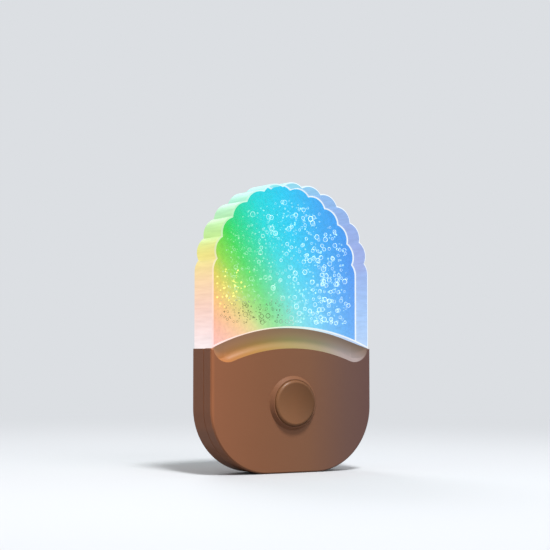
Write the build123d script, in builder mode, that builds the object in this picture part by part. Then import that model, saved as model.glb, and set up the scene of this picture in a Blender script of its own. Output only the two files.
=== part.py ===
from build123d import *
from math import cos, radians, sin, sqrt, tan
import os

# Plug-in night light with a bubble panel, in millimetres.
# The wall face of the plug is the XZ plane. The blades reach into the wall along +Y, the lamp
# stands out along -Y, and Z is up. Z is 0 at the middle of the blades, X is 0 between them.
# A stand-off is a distance from the wall face along -Y.

# Driving dimensions

# Blades of a two-slot outlet plug
blade_spacing = 12.7
blade_width = 6.3
blade_thickness = 1.5
blade_length = 16.5
blade_hole_diameter = 3.2
blade_hole_from_tip = 4.6
blade_tip_corner = 1.6
blade_tip_bevel = 0.45
blade_shoulder_width = 9.0
blade_shoulder_length = 1.4
blade_tab_width = 4.2
blade_tab_length = 3.0
blade_clearance = 0.1

# Plug boss, which stands the lamp off the wall plate
boss_width = 31.0
boss_height = 27.0
boss_corner = 7.0
boss_depth = 9.7
boss_draft = 2.0
boss_edge_bevel = 0.8
boss_floor = 2.0
boss_part_clearance = 0.3

# Carrier that clamps the blades on the floor of the boss
carrier_width = 23.0
carrier_height = 11.0
carrier_depth = 3.5
carrier_corner = 1.5
carrier_pin_size = 2.0
carrier_pin_spacing = 7.0
carrier_pin_proud = 0.6
carrier_clearance = 0.1

# Housing
housing_width = 53.4
housing_below = 21.5
shoulder_height = 14.0
bottom_corner = 18.7
body_depth = 11.5
wall = 1.8
back_edge_bevel = 0.7
front_edge_bevel = 0.35
parting_bevel = 0.2
lip_length = 1.5
lip_wall = 0.9
lip_clearance = 0.15
lip_top = 3.0
hook_level = 9.0
hook_width = 4.0
hook_thickness = 1.2
hook_catch = 2.0
hook_barb = 0.6
hook_land = 0.5
hook_clearance = 0.15

# Arched lip and the scoop under it
arch_rise = 6.0
scoop_height = 5.9
scoop_depth = 2.6
scoop_cove_round = 2.5
scoop_end_round = 4.8
scoop_end_margin = 0.1
scoop_end_run = 7.0

# Light panel
panel_side_step = 0.5
panel_face_step = 0.1
panel_straight_height = 22.0
scallop_count = 12
scallop_depth = 1.0
panel_edge_bevel = 0.3
panel_seat_clearance = 0.1
tenon_width = 43.4
tenon_back_step = 2.6
tenon_side_clearance = 0.2

# Push button
button_height = -1.6
button_diameter = 12.8
button_gap = 0.3
button_proud = 1.8
button_edge_bevel = 0.4
button_dish_depth = 0.6
button_dish_steps = 3
button_face_wall = 1.3
button_skirt_wall = 1.2
button_stem_diameter = 3.8
button_flange_step = 1.1
button_flange_thickness = 0.7
button_stop_clearance = 0.05
button_travel = 0.6
collar_proud = 1.1
collar_land = 0.25
collar_flare = 0.85

# Push switch on the main board
switch_size = 6.2
switch_corner = 0.3
switch_body_height = 3.2
switch_cover_thickness = 0.3
switch_leg_spacing = 4.5
switch_leg_width = 0.7
switch_leg_thickness = 0.3
switch_leg_foot = 0.6
plunger_diameter = 3.4
plunger_proud = 1.4
plunger_length = 3.0
plunger_clearance = 0.08
plunger_contact_gap = 0.05
plunger_room = 0.2
plunger_bevel = 0.3

# Main board
board_width = 35.0
board_top = 3.9
board_bottom = -13.2
board_thickness = 1.2
board_corner = 1.5
board_post_height = 0.8
board_post_size = 4.0
board_post_inset = 2.2
lead_overhang = 0.6
lead_clearance = 0.15

# LED board, lying flat under the foot of the panel
led_board_bottom = 4.3
led_board_thickness = 1.0
led_board_width = 41.0
led_board_margin = 0.45
led_ledge_width = 2.8
led_ledge_height = 3.5
led_count = 4
led_spacing = 11.0
led_size = 3.5
led_height = 1.4
led_recess_size = 2.7
led_recess_depth = 0.6

# Reflector frame round the LEDs
reflector_height = 1.7
reflector_window_clearance = 0.2
reflector_window_flare = 30.0
reflector_rail_height = 0.8
reflector_rail_wall = 0.7
reflector_room = 0.1

# Parts on the boards
film_capacitor_size = (12.5, 5.0, 6.0)
film_capacitor_across = -4.0
film_capacitor_bevel = 0.5
film_lead_spacing = 10.0
can_diameter = 6.0
can_height = 5.4
can_across = 7.2
can_bead = 0.35
can_base_margin = 0.3
can_base_height = 0.9
can_base_corner = 1.5
lead_size = 0.6
package_bevel = 0.3
package_leg_thickness = 0.3
bridge_size = (4.8, 3.9, 1.5)
bridge_place = (0.0, 1.3)
bridge_leg_width = 0.6
bridge_leg_reach = 0.8
bridge_leg_spacing = 2.5
chip_size = (3.9, 4.9, 1.4)
chip_level = -3.6
chip_leg_width = 0.45
chip_leg_reach = 0.9
chip_leg_spacing = 1.27
chip_leg_count = 4
fuse_diameter = 2.2
fuse_length = 5.8
fuse_cap_length = 1.2
fuse_cap_proud = 0.1
fuse_place = (-10.2, -4.8)
chip_resistor_size = (1.7, 0.9, 0.5)
chip_resistor_place = (1.5, -11.0)
chip_resistor_pitch = 2.2
chip_resistor_columns = 3
chip_resistor_rows = 2

# Header between the boards
header_edge_distance = 6.5
header_pin_count = 4
header_pitch = 1.27
header_pin = 0.5
header_block_height = 2.0
header_block_depth = 2.2
header_end_margin = 0.8
header_pin_end = 0.4

# Wires from the blades to the main board
wire_diameter = 1.4
wire_wall_clearance = 0.8
wire_straight = 1.6
wire_drop = 2.0

# Screws
case_screw_inset = 4.6
case_screw_angle = 78.0
case_screw_diameter = 2.2
case_screw_length = 6.6
case_screw_head_diameter = 4.0
case_screw_head_height = 1.5
case_screw_sink = 2.4
pillar_diameter = 5.6
pillar_height = 3.1
screw_post_diameter = 5.0
board_screw_diameter = 1.8
board_screw_length = 3.2
board_screw_head_diameter = 3.4
board_screw_head_height = 1.2
screw_pilot_clearance = 0.05
screw_through_clearance = 0.2
screw_tip_room = 0.4

# Places that follow from the sizes

back = boss_depth
front = boss_depth + body_depth
back_inside = back + wall
front_inside = front - wall
parting = front - scoop_depth - wall

hook_outer = housing_width / 2 - wall - hook_clearance
hook_inner = hook_outer - hook_thickness
hook_root = parting + hook_thickness
hook_seat = parting - hook_catch
hook_tip = hook_seat - hook_land - hook_barb
hook_pocket_front = hook_seat + hook_clearance

panel_half_width = housing_width / 2 - panel_side_step
panel_back = back + panel_face_step
panel_front = front - panel_face_step
panel_seat = parting - panel_seat_clearance
tenon_back = panel_back + tenon_back_step
scallop_centre_height = shoulder_height + panel_straight_height
scallop_pitch = 180.0 / scallop_count

arch_radius = (panel_half_width**2 + arch_rise**2) / (2 * arch_rise)
arch_centre = shoulder_height + arch_rise - arch_radius
scoop_radius = arch_radius - scoop_height
ceiling_radius = scoop_radius - wall

board_back = back_inside + board_post_height
board_front = board_back + board_thickness
switch_front = board_front + switch_body_height + switch_cover_thickness
plunger_front = switch_front + plunger_proud
button_back = plunger_front + plunger_contact_gap
button_front = front + button_proud
flange_front = front_inside - button_stop_clearance
hole_radius = button_diameter / 2 + button_gap

led_board_top = led_board_bottom + led_board_thickness
reflector_top = led_board_top + reflector_height
tenon_bottom = reflector_top
foot_middle = (tenon_back + panel_seat) / 2

pillar_front = back_inside + pillar_height
screw_seat = back + case_screw_sink
carrier_front = boss_floor + carrier_depth
board_middle = (board_top + board_bottom) / 2
board_height = board_top - board_bottom
header_place = board_width / 2 - header_edge_distance
header_hole = header_pin + 2 * lead_clearance
led_board_depth = panel_seat - tenon_back + 2 * led_board_margin

boss_room_low = wall - boss_height / 2
film_capacitor_level = boss_room_low + boss_part_clearance + film_capacitor_size[1] / 2
can_base_size = can_diameter + 2 * can_base_margin
can_level = boss_room_low + boss_part_clearance + can_base_size / 2
film_capacitor_place = (film_capacitor_across, film_capacitor_level)
can_place = (can_across, can_level)
wire_board_place = boss_width / 2 - wall - wire_wall_clearance - wire_diameter / 2


def wall_plane(stand_off):
    """The plane parallel to the wall at a stand-off, with X across and Z up."""
    return Plane.XZ.offset(stand_off)


def both_sides(place):
    """A place and its mirror image across the middle of the lamp."""
    return [(-place[0], place[1]), place]


def housing_outline(inset):
    """The housing seen from the front, drawn in by a wall or a clearance."""
    width = housing_width - 2 * inset
    height = housing_below + shoulder_height - 2 * inset
    with BuildSketch() as outline:
        with Locations((0, (shoulder_height - housing_below) / 2)):
            Rectangle(width, height)
        fillet(outline.vertices().group_by(Axis.Y)[0], bottom_corner - inset)
    return outline.sketch


def lip_band(outer, inner):
    """A band between two insets of the housing's outline, left open at the top for the panel."""
    with BuildSketch() as band:
        add(housing_outline(outer))
        add(housing_outline(inner), mode=Mode.SUBTRACT)
        with Locations((0, lip_top)):
            Rectangle(
                housing_width,
                shoulder_height,
                align=(Align.CENTER, Align.MIN),
                mode=Mode.SUBTRACT,
            )
    return band.sketch


def below_arch(radius, half_width, bottom):
    """Everything between a level and an arc of the lip's family, out to a half width."""
    side_height = arch_centre + sqrt(radius**2 - half_width**2)
    with BuildSketch() as outline:
        with BuildLine():
            RadiusArc((-half_width, side_height), (half_width, side_height), radius)
            Polyline(
                (half_width, side_height),
                (half_width, bottom),
                (-half_width, bottom),
                (-half_width, side_height),
            )
        make_face()
    return outline.sketch


def scoop_outline():
    """The scoop seen from the front: a band under the arch with its lower corners rounded."""
    half_width = panel_half_width - scoop_end_margin
    low = arch_centre + sqrt(scoop_radius**2 - half_width**2)
    high = arch_centre + sqrt((arch_radius + scoop_depth) ** 2 - half_width**2)
    with BuildSketch() as outline:
        with BuildLine():
            RadiusArc((-half_width, low), (half_width, low), scoop_radius)
            Line((half_width, low), (half_width, high))
            RadiusArc((half_width, high), (-half_width, high), -(arch_radius + scoop_depth))
            Line((-half_width, high), (-half_width, low))
        make_face()
        fillet(outline.vertices().group_by(Axis.Y)[0], scoop_end_round)
    return outline.sketch


def polar_point(radius, angle):
    """A point on the scalloped top, by its radius and its angle from +X."""
    return (
        radius * cos(radians(angle)),
        scallop_centre_height + radius * sin(radians(angle)),
    )


def panel_outline():
    """The panel seen from the front, down to the shoulder of the housing."""
    cusps = [
        polar_point(panel_half_width - scallop_depth, scallop_pitch * (number + 0.5))
        for number in range(scallop_count)
    ]
    right = (panel_half_width, scallop_centre_height)
    left = (-panel_half_width, scallop_centre_height)
    with BuildSketch() as outline:
        with BuildLine():
            Line((panel_half_width, shoulder_height), right)
            TangentArc(right, cusps[0], tangent=(0, 1))
            for number in range(scallop_count - 1):
                peak = polar_point(panel_half_width, scallop_pitch * (number + 1))
                ThreePointArc(cusps[number], peak, cusps[number + 1])
            TangentArc(left, cusps[-1], tangent=(0, 1))
            Line(left, (-panel_half_width, shoulder_height))
            Line((-panel_half_width, shoulder_height), (panel_half_width, shoulder_height))
        make_face()
    return outline.sketch


# Front shell: a shallow cover with the arched lip, the scoop and the button's collar

post_reach = bottom_corner - case_screw_inset
post_across = housing_width / 2 - bottom_corner + post_reach * cos(radians(case_screw_angle))
post_level = bottom_corner - housing_below - post_reach * sin(radians(case_screw_angle))
post_places = both_sides((post_across, post_level))

with BuildPart() as scoop_tool:
    with BuildSketch(wall_plane(front - scoop_depth)):
        add(scoop_outline())
    extrude(amount=2 * scoop_depth)
    floor_edges = scoop_tool.faces().sort_by(Axis.Y)[-1].edges().sort_by(Axis.Z)[:-1]
    fillet(floor_edges, scoop_cove_round)
    scoop_half_width = panel_half_width - scoop_end_margin
    with BuildSketch(Plane.XY.offset(-housing_below)):
        with BuildLine():
            right_run = (scoop_half_width - scoop_end_run, scoop_depth - front)
            right_end = (scoop_half_width, -front)
            left_run = (-right_run[0], right_run[1])
            left_end = (-right_end[0], right_end[1])
            TangentArc(right_run, right_end, tangent=(1, 0))
            TangentArc(left_run, left_end, tangent=(-1, 0))
            Line(left_run, right_run)
            Polyline(
                right_end,
                (right_end[0], -front - scoop_depth),
                (left_end[0], -front - scoop_depth),
                left_end,
            )
        make_face()
    extrude(amount=housing_below + arch_centre + arch_radius + 2 * scoop_depth, mode=Mode.INTERSECT)

with BuildPart() as front_shell:
    with BuildSketch(wall_plane(parting)):
        add(housing_outline(0))
        add(below_arch(arch_radius, panel_half_width, shoulder_height - wall))
    extrude(amount=front - parting)
    chamfer(front_shell.faces().sort_by(Axis.Y)[0].edges(), front_edge_bevel)
    chamfer(
        front_shell.faces().sort_by(Axis.Y)[-1].edges().filter_by(lambda edge: edge.center().Z < lip_top),
        parting_bevel,
    )
    add(scoop_tool.part, mode=Mode.SUBTRACT)
    with BuildSketch(wall_plane(parting)):
        add(housing_outline(wall))
        add(below_arch(ceiling_radius, housing_width / 2 - wall, -housing_below), mode=Mode.INTERSECT)
    extrude(amount=front_inside - parting, mode=Mode.SUBTRACT)
    with BuildSketch(wall_plane(parting)):
        add(lip_band(wall + lip_clearance, wall + lip_clearance + lip_wall))
    extrude(amount=-lip_length)
    with BuildSketch(wall_plane(parting)):
        add(lip_band(wall, wall + lip_clearance + lip_wall))
    extrude(amount=front_inside - parting)
    for side in (-1, 1):
        with BuildSketch(Plane.XY.offset(hook_level)):
            with BuildLine():
                Polyline(
                    (side * hook_inner, -hook_root),
                    (side * hook_outer, -hook_root),
                    (side * hook_outer, -hook_seat),
                    (side * (hook_outer + hook_barb), -hook_seat),
                    (side * (hook_outer + hook_barb), hook_land - hook_seat),
                    (side * hook_outer, -hook_tip),
                    (side * hook_inner, -hook_tip),
                    (side * hook_inner, -hook_root),
                )
            make_face()
        extrude(amount=hook_width / 2, both=True)
    with BuildSketch(Plane.XY.offset(button_height)):
        with BuildLine():
            crest = -(front + collar_proud)
            outer = hole_radius + collar_land
            Polyline(
                (outer, crest),
                (outer + collar_flare, -front),
                (outer + collar_flare, -front_inside),
                (hole_radius, -front_inside),
                (hole_radius, crest),
                (outer, crest),
            )
        make_face()
    revolve(axis=Axis((0, 0, button_height), (0, 1, 0)))
    with BuildSketch(wall_plane(front_inside)):
        with Locations((0, button_height)):
            Circle(hole_radius)
    extrude(amount=wall + collar_proud, mode=Mode.SUBTRACT)
    with BuildSketch(wall_plane(pillar_front)):
        with Locations(*post_places):
            Circle(screw_post_diameter / 2)
    extrude(amount=front_inside - pillar_front)
    with BuildSketch(wall_plane(pillar_front)):
        with Locations(*post_places):
            Circle(case_screw_diameter / 2 + screw_pilot_clearance)
    extrude(
        amount=screw_seat + case_screw_length + screw_tip_room - pillar_front,
        mode=Mode.SUBTRACT,
    )
front_shell.part.label = "front_shell"

# Rear shell: the deep half of the housing with the plug boss

board_post_across = board_width / 2 - board_post_inset
board_screw_places = both_sides((board_post_across, board_bottom + board_post_inset))
board_pad_places = both_sides((board_post_across, board_top - board_post_inset))
blade_places = both_sides((blade_spacing / 2, 0))
carrier_pin_places = [(0, -carrier_pin_spacing / 2), (0, carrier_pin_spacing / 2)]

with BuildPart() as rear_shell:
    with BuildSketch(wall_plane(back)):
        add(housing_outline(0))
    extrude(amount=parting - back)
    chamfer(rear_shell.faces().sort_by(Axis.Y)[-1].edges(), back_edge_bevel)
    chamfer(
        rear_shell.faces().sort_by(Axis.Y)[0].edges().filter_by(lambda edge: edge.center().Z < lip_top),
        parting_bevel,
    )
    with BuildSketch(wall_plane(back)):
        RectangleRounded(boss_width, boss_height, boss_corner)
    extrude(amount=-back, taper=boss_draft)
    chamfer(rear_shell.faces().sort_by(Axis.Y)[-1].edges(), boss_edge_bevel)
    with BuildSketch(wall_plane(back_inside)):
        add(housing_outline(wall))
    extrude(amount=parting - back_inside, mode=Mode.SUBTRACT)
    with BuildSketch(wall_plane(back_inside)):
        with Locations((0, shoulder_height)):
            Rectangle(tenon_width + 2 * tenon_side_clearance, 2 * wall)
    extrude(amount=parting - back_inside, mode=Mode.SUBTRACT)
    with BuildSketch(wall_plane(back_inside)):
        RectangleRounded(boss_width - 2 * wall, boss_height - 2 * wall, boss_corner - wall)
    extrude(amount=boss_floor - back_inside, mode=Mode.SUBTRACT)
    with BuildSketch(wall_plane(0)):
        with Locations(*blade_places):
            Rectangle(blade_thickness + 2 * blade_clearance, blade_width + 2 * blade_clearance)
    extrude(amount=boss_floor, mode=Mode.SUBTRACT)
    with BuildSketch(wall_plane(boss_floor)):
        with Locations(*carrier_pin_places):
            Rectangle(carrier_pin_size, carrier_pin_size)
    extrude(amount=carrier_depth + carrier_pin_proud)
    with BuildSketch(wall_plane(back_inside)):
        with Locations(*post_places):
            Circle(pillar_diameter / 2)
    extrude(amount=pillar_height)
    with BuildSketch(wall_plane(back_inside)):
        with Locations(*board_screw_places, *board_pad_places):
            Rectangle(board_post_size, board_post_size)
    extrude(amount=board_post_height)
    with BuildSketch(wall_plane(back_inside)):
        with Locations(*both_sides((led_board_width / 2, led_board_bottom))):
            Rectangle(led_ledge_width, led_ledge_height, align=(Align.CENTER, Align.MAX))
    extrude(amount=pillar_height)
    pocket_depth = hook_barb + hook_clearance
    pocket_middle = (hook_outer + pocket_depth / 2, -(hook_pocket_front + hook_tip) / 2)
    with BuildSketch(Plane.XY.offset(hook_level)):
        with Locations(*both_sides(pocket_middle)):
            Rectangle(pocket_depth, hook_pocket_front - hook_tip)
    extrude(amount=hook_width / 2 + hook_clearance, both=True, mode=Mode.SUBTRACT)
    with BuildSketch(wall_plane(back)):
        with Locations(*post_places):
            Circle(case_screw_head_diameter / 2 + screw_through_clearance)
    extrude(amount=case_screw_sink, mode=Mode.SUBTRACT)
    with BuildSketch(wall_plane(back)):
        with Locations(*post_places):
            Circle(case_screw_diameter / 2 + screw_through_clearance)
    extrude(amount=pillar_front - back, mode=Mode.SUBTRACT)
    with BuildSketch(wall_plane(board_back)):
        with Locations(*board_screw_places):
            Circle(board_screw_diameter / 2 + screw_pilot_clearance)
    extrude(amount=board_front - board_screw_length - board_back, mode=Mode.SUBTRACT)
rear_shell.part.label = "rear_shell"

# Light panel: a scalloped block with a step for the arched lip and a foot between the shells

with BuildPart() as light_panel:
    with BuildSketch(wall_plane(panel_back)):
        add(panel_outline())
    extrude(amount=panel_front - panel_back)
    chamfer(
        light_panel.edges().filter_by(
            lambda edge: abs(edge.center().Z - shoulder_height) > panel_edge_bevel
            and abs(edge.vertices()[0].Y - edge.vertices()[-1].Y) < panel_edge_bevel
        ),
        panel_edge_bevel,
    )
    with BuildSketch(wall_plane(panel_seat)):
        add(below_arch(arch_radius + panel_seat_clearance, panel_half_width, 0))
    extrude(amount=panel_front - panel_seat, mode=Mode.SUBTRACT)
    with BuildSketch(wall_plane(tenon_back)):
        with Locations((0, tenon_bottom)):
            Rectangle(
                tenon_width,
                shoulder_height - tenon_bottom,
                align=(Align.CENTER, Align.MIN),
            )
    extrude(amount=panel_seat - tenon_back)
light_panel.part.label = "light_panel"

# Push button: a dished cap with a stop flange and a stem that meets the switch

with BuildPart() as mode_button:
    with BuildSketch(Plane.XY.offset(button_height)):
        rim = button_diameter / 2 - button_edge_bevel
        dish_bottom = -(button_front - button_dish_depth)
        flange_radius = button_diameter / 2 + button_flange_step
        dish = [
            (
                rim * step / button_dish_steps,
                dish_bottom - button_dish_depth * (step / button_dish_steps) ** 2,
            )
            for step in range(button_dish_steps + 1)
        ]
        with BuildLine():
            Polyline(
                *dish,
                (button_diameter / 2, -(button_front - button_edge_bevel)),
                (button_diameter / 2, -flange_front),
                (flange_radius, -flange_front),
                (flange_radius, -(flange_front - button_flange_thickness)),
                (
                    button_diameter / 2 - button_skirt_wall,
                    -(flange_front - button_flange_thickness),
                ),
                (button_diameter / 2 - button_skirt_wall, dish_bottom + button_face_wall),
                (button_stem_diameter / 2, dish_bottom + button_face_wall),
                (button_stem_diameter / 2, -button_back),
                (0, -button_back),
                (0, dish_bottom),
            )
        make_face()
    revolve(axis=Axis((0, 0, button_height), (0, 1, 0)))
mode_button.part.label = "mode_button"

# Push switch: body, metal cover, legs and plunger

plunger_back = plunger_front - plunger_length
switch_leg_places = [
    (
        side * (switch_size + switch_leg_thickness) / 2,
        button_height + end * switch_leg_spacing / 2,
    )
    for side in (-1, 1)
    for end in (-1, 1)
]

with BuildPart() as switch_body:
    with BuildSketch(wall_plane(board_front)):
        with Locations((0, button_height)):
            Rectangle(switch_size, switch_size)
    extrude(amount=switch_body_height)
    with BuildSketch(wall_plane(plunger_back - button_travel - plunger_room)):
        with Locations((0, button_height)):
            Circle(plunger_diameter / 2 + plunger_clearance)
    extrude(amount=plunger_length + button_travel + plunger_room, mode=Mode.SUBTRACT)
switch_body.part.label = "switch_body"

with BuildPart() as switch_cover:
    with BuildSketch(wall_plane(board_front + switch_body_height)):
        with Locations((0, button_height)):
            Rectangle(switch_size, switch_size)
            Circle(plunger_diameter / 2 + plunger_clearance, mode=Mode.SUBTRACT)
    extrude(amount=switch_cover_thickness)
    fillet(switch_cover.edges().filter_by(Axis.Y), switch_corner)
switch_cover.part.label = "switch_cover"

with BuildPart() as switch_legs:
    with BuildSketch(wall_plane(board_back - lead_overhang)):
        with Locations(*switch_leg_places):
            Rectangle(switch_leg_thickness, switch_leg_width)
    extrude(amount=board_thickness + lead_overhang + switch_leg_foot)
switch_legs.part.label = "switch_legs"

with BuildPart() as switch_plunger:
    with BuildSketch(wall_plane(plunger_back)):
        with Locations((0, button_height)):
            Circle(plunger_diameter / 2)
    extrude(amount=plunger_length)
    chamfer(switch_plunger.faces().sort_by(Axis.Y)[0].edges(), plunger_bevel)
switch_plunger.part.label = "switch_plunger"

# Main board with a hole for every lead, and the LED board above it

film_leads = [
    (film_capacitor_place[0] + side * film_lead_spacing / 2, film_capacitor_place[1])
    for side in (-1, 1)
]
wire_ends = both_sides((wire_board_place, -wire_drop))
header_level = board_top - header_block_height / 2
header_columns = [
    header_place + header_pitch * (number - (header_pin_count - 1) / 2)
    for number in range(header_pin_count)
]
header_top_stand_off = board_front + header_block_depth / 2

with BuildPart() as main_board:
    with BuildSketch(wall_plane(board_back)):
        with Locations((0, board_middle)):
            RectangleRounded(board_width, board_height, board_corner)
        with Locations(*film_leads):
            Rectangle(
                lead_size + 2 * lead_clearance,
                lead_size + 2 * lead_clearance,
                mode=Mode.SUBTRACT,
            )
        with Locations(*wire_ends):
            Circle(wire_diameter / 2 + lead_clearance, mode=Mode.SUBTRACT)
        with Locations(*board_screw_places):
            Circle(board_screw_diameter / 2 + screw_through_clearance, mode=Mode.SUBTRACT)
        with Locations(*switch_leg_places):
            Rectangle(
                switch_leg_thickness + 2 * lead_clearance,
                switch_leg_width + 2 * lead_clearance,
                mode=Mode.SUBTRACT,
            )
        with Locations(*[(column, header_level) for column in header_columns]):
            Rectangle(header_hole, header_hole, mode=Mode.SUBTRACT)
    extrude(amount=board_thickness)
main_board.part.label = "main_board"

with BuildPart() as led_board:
    with BuildSketch(Plane.XY.offset(led_board_bottom)):
        with Locations((0, -foot_middle)):
            Rectangle(led_board_width, led_board_depth)
        with Locations(*[(column, -header_top_stand_off) for column in header_columns]):
            Rectangle(header_hole, header_hole, mode=Mode.SUBTRACT)
    extrude(amount=led_board_thickness)
led_board.part.label = "led_board"

led_places = [
    (led_spacing * (number - (led_count - 1) / 2), -foot_middle) for number in range(led_count)
]

with BuildPart() as led_packages:
    with BuildSketch(Plane.XY.offset(led_board_top)):
        with Locations(*led_places):
            Rectangle(led_size, led_size)
    extrude(amount=led_height)
    with BuildSketch(Plane.XY.offset(led_board_top + led_height)):
        with Locations(*led_places):
            Rectangle(led_recess_size, led_recess_size)
    extrude(amount=-led_recess_depth, mode=Mode.SUBTRACT)
led_packages.part.label = "led_packages"

with BuildPart() as led_resin:
    with BuildSketch(Plane.XY.offset(led_board_top + led_height - led_recess_depth)):
        with Locations(*led_places):
            Rectangle(led_recess_size, led_recess_size)
    extrude(amount=led_recess_depth)
led_resin.part.label = "led_resin"

# Reflector frame: flared windows round the LEDs, and rails that hold the foot of the panel

rail_back = tenon_back - reflector_room
rail_front = panel_seat + reflector_room
with BuildPart() as led_reflector:
    with BuildSketch(Plane.XY.offset(led_board_top)):
        with Locations((0, -foot_middle)):
            Rectangle(
                led_board_width,
                rail_front - rail_back + 2 * reflector_rail_wall,
            )
    extrude(amount=reflector_height + reflector_rail_height)
    with BuildSketch(Plane.XY.offset(reflector_top)):
        with Locations((0, -foot_middle)):
            Rectangle(led_board_width, rail_front - rail_back)
    extrude(amount=reflector_rail_height, mode=Mode.SUBTRACT)
    window_flare = reflector_height * tan(radians(reflector_window_flare))
    with BuildSketch(wall_plane(foot_middle)):
        with Locations(*[(place[0], led_board_top) for place in led_places]):
            Trapezoid(
                led_size + 2 * (reflector_window_clearance + window_flare),
                reflector_height,
                90 + reflector_window_flare,
                align=(Align.CENTER, Align.MIN),
            )
    extrude(amount=led_size / 2 + reflector_window_clearance, both=True, mode=Mode.SUBTRACT)
    header_slot = header_pin_count * header_pitch
    with BuildSketch(Plane.XY.offset(led_board_top)):
        with Locations((header_place, -header_top_stand_off)):
            Rectangle(header_slot, header_pitch)
    extrude(amount=header_pin_end + lead_clearance, mode=Mode.SUBTRACT)
led_reflector.part.label = "led_reflector"

# Header: a block on the main board with bent pins up to the LED board

with BuildPart() as header_block:
    with BuildSketch(wall_plane(board_front)):
        with Locations((header_place, header_level)):
            Rectangle(
                (header_pin_count - 1) * header_pitch + 2 * header_end_margin,
                header_block_height,
            )
    extrude(amount=header_block_depth)
    with BuildSketch(wall_plane(board_front)):
        with Locations(*[(column, header_level) for column in header_columns]):
            Rectangle(header_pin, header_pin)
    extrude(amount=header_block_depth / 2 + header_pin / 2, mode=Mode.SUBTRACT)
    with BuildSketch(Plane.XY.offset(header_level - header_pin / 2)):
        with Locations(*[(column, -header_top_stand_off) for column in header_columns]):
            Rectangle(header_pin, header_pin)
    extrude(amount=header_block_height, mode=Mode.SUBTRACT)
header_block.part.label = "header_block"

with BuildPart() as header_pins:
    pin_back = board_back - lead_overhang
    with BuildSketch(wall_plane(pin_back)):
        with Locations(*[(column, header_level) for column in header_columns]):
            Rectangle(header_pin, header_pin)
    extrude(amount=header_top_stand_off + header_pin / 2 - pin_back)
    with BuildSketch(Plane.XY.offset(header_level - header_pin / 2)):
        with Locations(*[(column, -header_top_stand_off) for column in header_columns]):
            Rectangle(header_pin, header_pin)
    extrude(amount=led_board_top + header_pin_end - header_level + header_pin / 2)
header_pins.part.label = "header_pins"

# Parts on the back of the main board, inside the plug boss

with BuildPart() as film_capacitor:
    with BuildSketch(wall_plane(board_back)):
        with Locations(film_capacitor_place):
            Rectangle(film_capacitor_size[0], film_capacitor_size[1])
    extrude(amount=-film_capacitor_size[2])
    chamfer(film_capacitor.edges().filter_by(Axis.Y), film_capacitor_bevel)
    chamfer(film_capacitor.faces().sort_by(Axis.Y)[-1].edges(), film_capacitor_bevel)
    with BuildSketch(wall_plane(board_back)):
        with Locations(*film_leads):
            Rectangle(lead_size, lead_size)
    extrude(amount=board_thickness + lead_overhang)
film_capacitor.part.label = "film_capacitor"

with BuildPart() as smoothing_capacitor:
    with BuildSketch(wall_plane(board_back)):
        with Locations(can_place):
            Circle(can_diameter / 2)
    extrude(amount=-can_height)
    chamfer(smoothing_capacitor.faces().sort_by(Axis.Y)[-1].edges(), can_bead)
    with BuildSketch(wall_plane(board_back)) as can_base:
        with Locations(can_place):
            Rectangle(can_base_size, can_base_size)
        chamfer(can_base.vertices().group_by(Axis.Y)[-1], can_base_corner)
    extrude(amount=-can_base_height)
smoothing_capacitor.part.label = "smoothing_capacitor"

with BuildPart() as bridge_rectifier:
    with BuildSketch(wall_plane(board_back)):
        with Locations(bridge_place):
            Rectangle(bridge_size[0], bridge_size[1])
    extrude(amount=-bridge_size[2])
    chamfer(bridge_rectifier.faces().sort_by(Axis.Y)[-1].edges(), package_bevel)
    with BuildSketch(wall_plane(board_back)):
        with Locations(bridge_place):
            with GridLocations(bridge_leg_spacing, 0, 2, 1):
                Rectangle(bridge_leg_width, bridge_size[1] + 2 * bridge_leg_reach)
    extrude(amount=-package_leg_thickness)
bridge_rectifier.part.label = "bridge_rectifier"

# Parts on the front of the main board

with BuildPart() as controller_chip:
    with BuildSketch(wall_plane(board_front)):
        with Locations((header_place, chip_level)):
            Rectangle(chip_size[0], chip_size[1])
    extrude(amount=chip_size[2])
    chamfer(controller_chip.faces().sort_by(Axis.Y)[0].edges(), package_bevel)
    with BuildSketch(wall_plane(board_front)):
        with Locations((header_place, chip_level)):
            with GridLocations(0, chip_leg_spacing, 1, chip_leg_count):
                Rectangle(chip_size[0] + 2 * chip_leg_reach, chip_leg_width)
    extrude(amount=package_leg_thickness)
controller_chip.part.label = "controller_chip"

with BuildPart() as chip_resistors:
    with BuildSketch(wall_plane(board_front)):
        with Locations(chip_resistor_place):
            with GridLocations(
                chip_resistor_pitch + chip_resistor_size[1],
                chip_resistor_pitch,
                chip_resistor_columns,
                chip_resistor_rows,
            ):
                Rectangle(chip_resistor_size[0], chip_resistor_size[1])
    extrude(amount=chip_resistor_size[2])
chip_resistors.part.label = "chip_resistors"

with BuildPart() as fuse_resistor:
    with BuildSketch(Plane.YZ.offset(fuse_place[0])):
        with Locations((-board_front - fuse_diameter / 2, fuse_place[1])):
            Circle(fuse_diameter / 2)
    extrude(amount=fuse_length / 2, both=True)
    with BuildSketch(Plane.YZ.offset(fuse_place[0])):
        with Locations((-board_front - fuse_diameter / 2, fuse_place[1])):
            Circle(fuse_diameter / 2)
            Circle(fuse_diameter / 2 - fuse_cap_proud, mode=Mode.SUBTRACT)
    extrude(amount=fuse_length / 2 - fuse_cap_length, both=True, mode=Mode.SUBTRACT)
fuse_resistor.part.label = "fuse_resistor"

# Plug blades, their carrier and the wires to the main board


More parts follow.
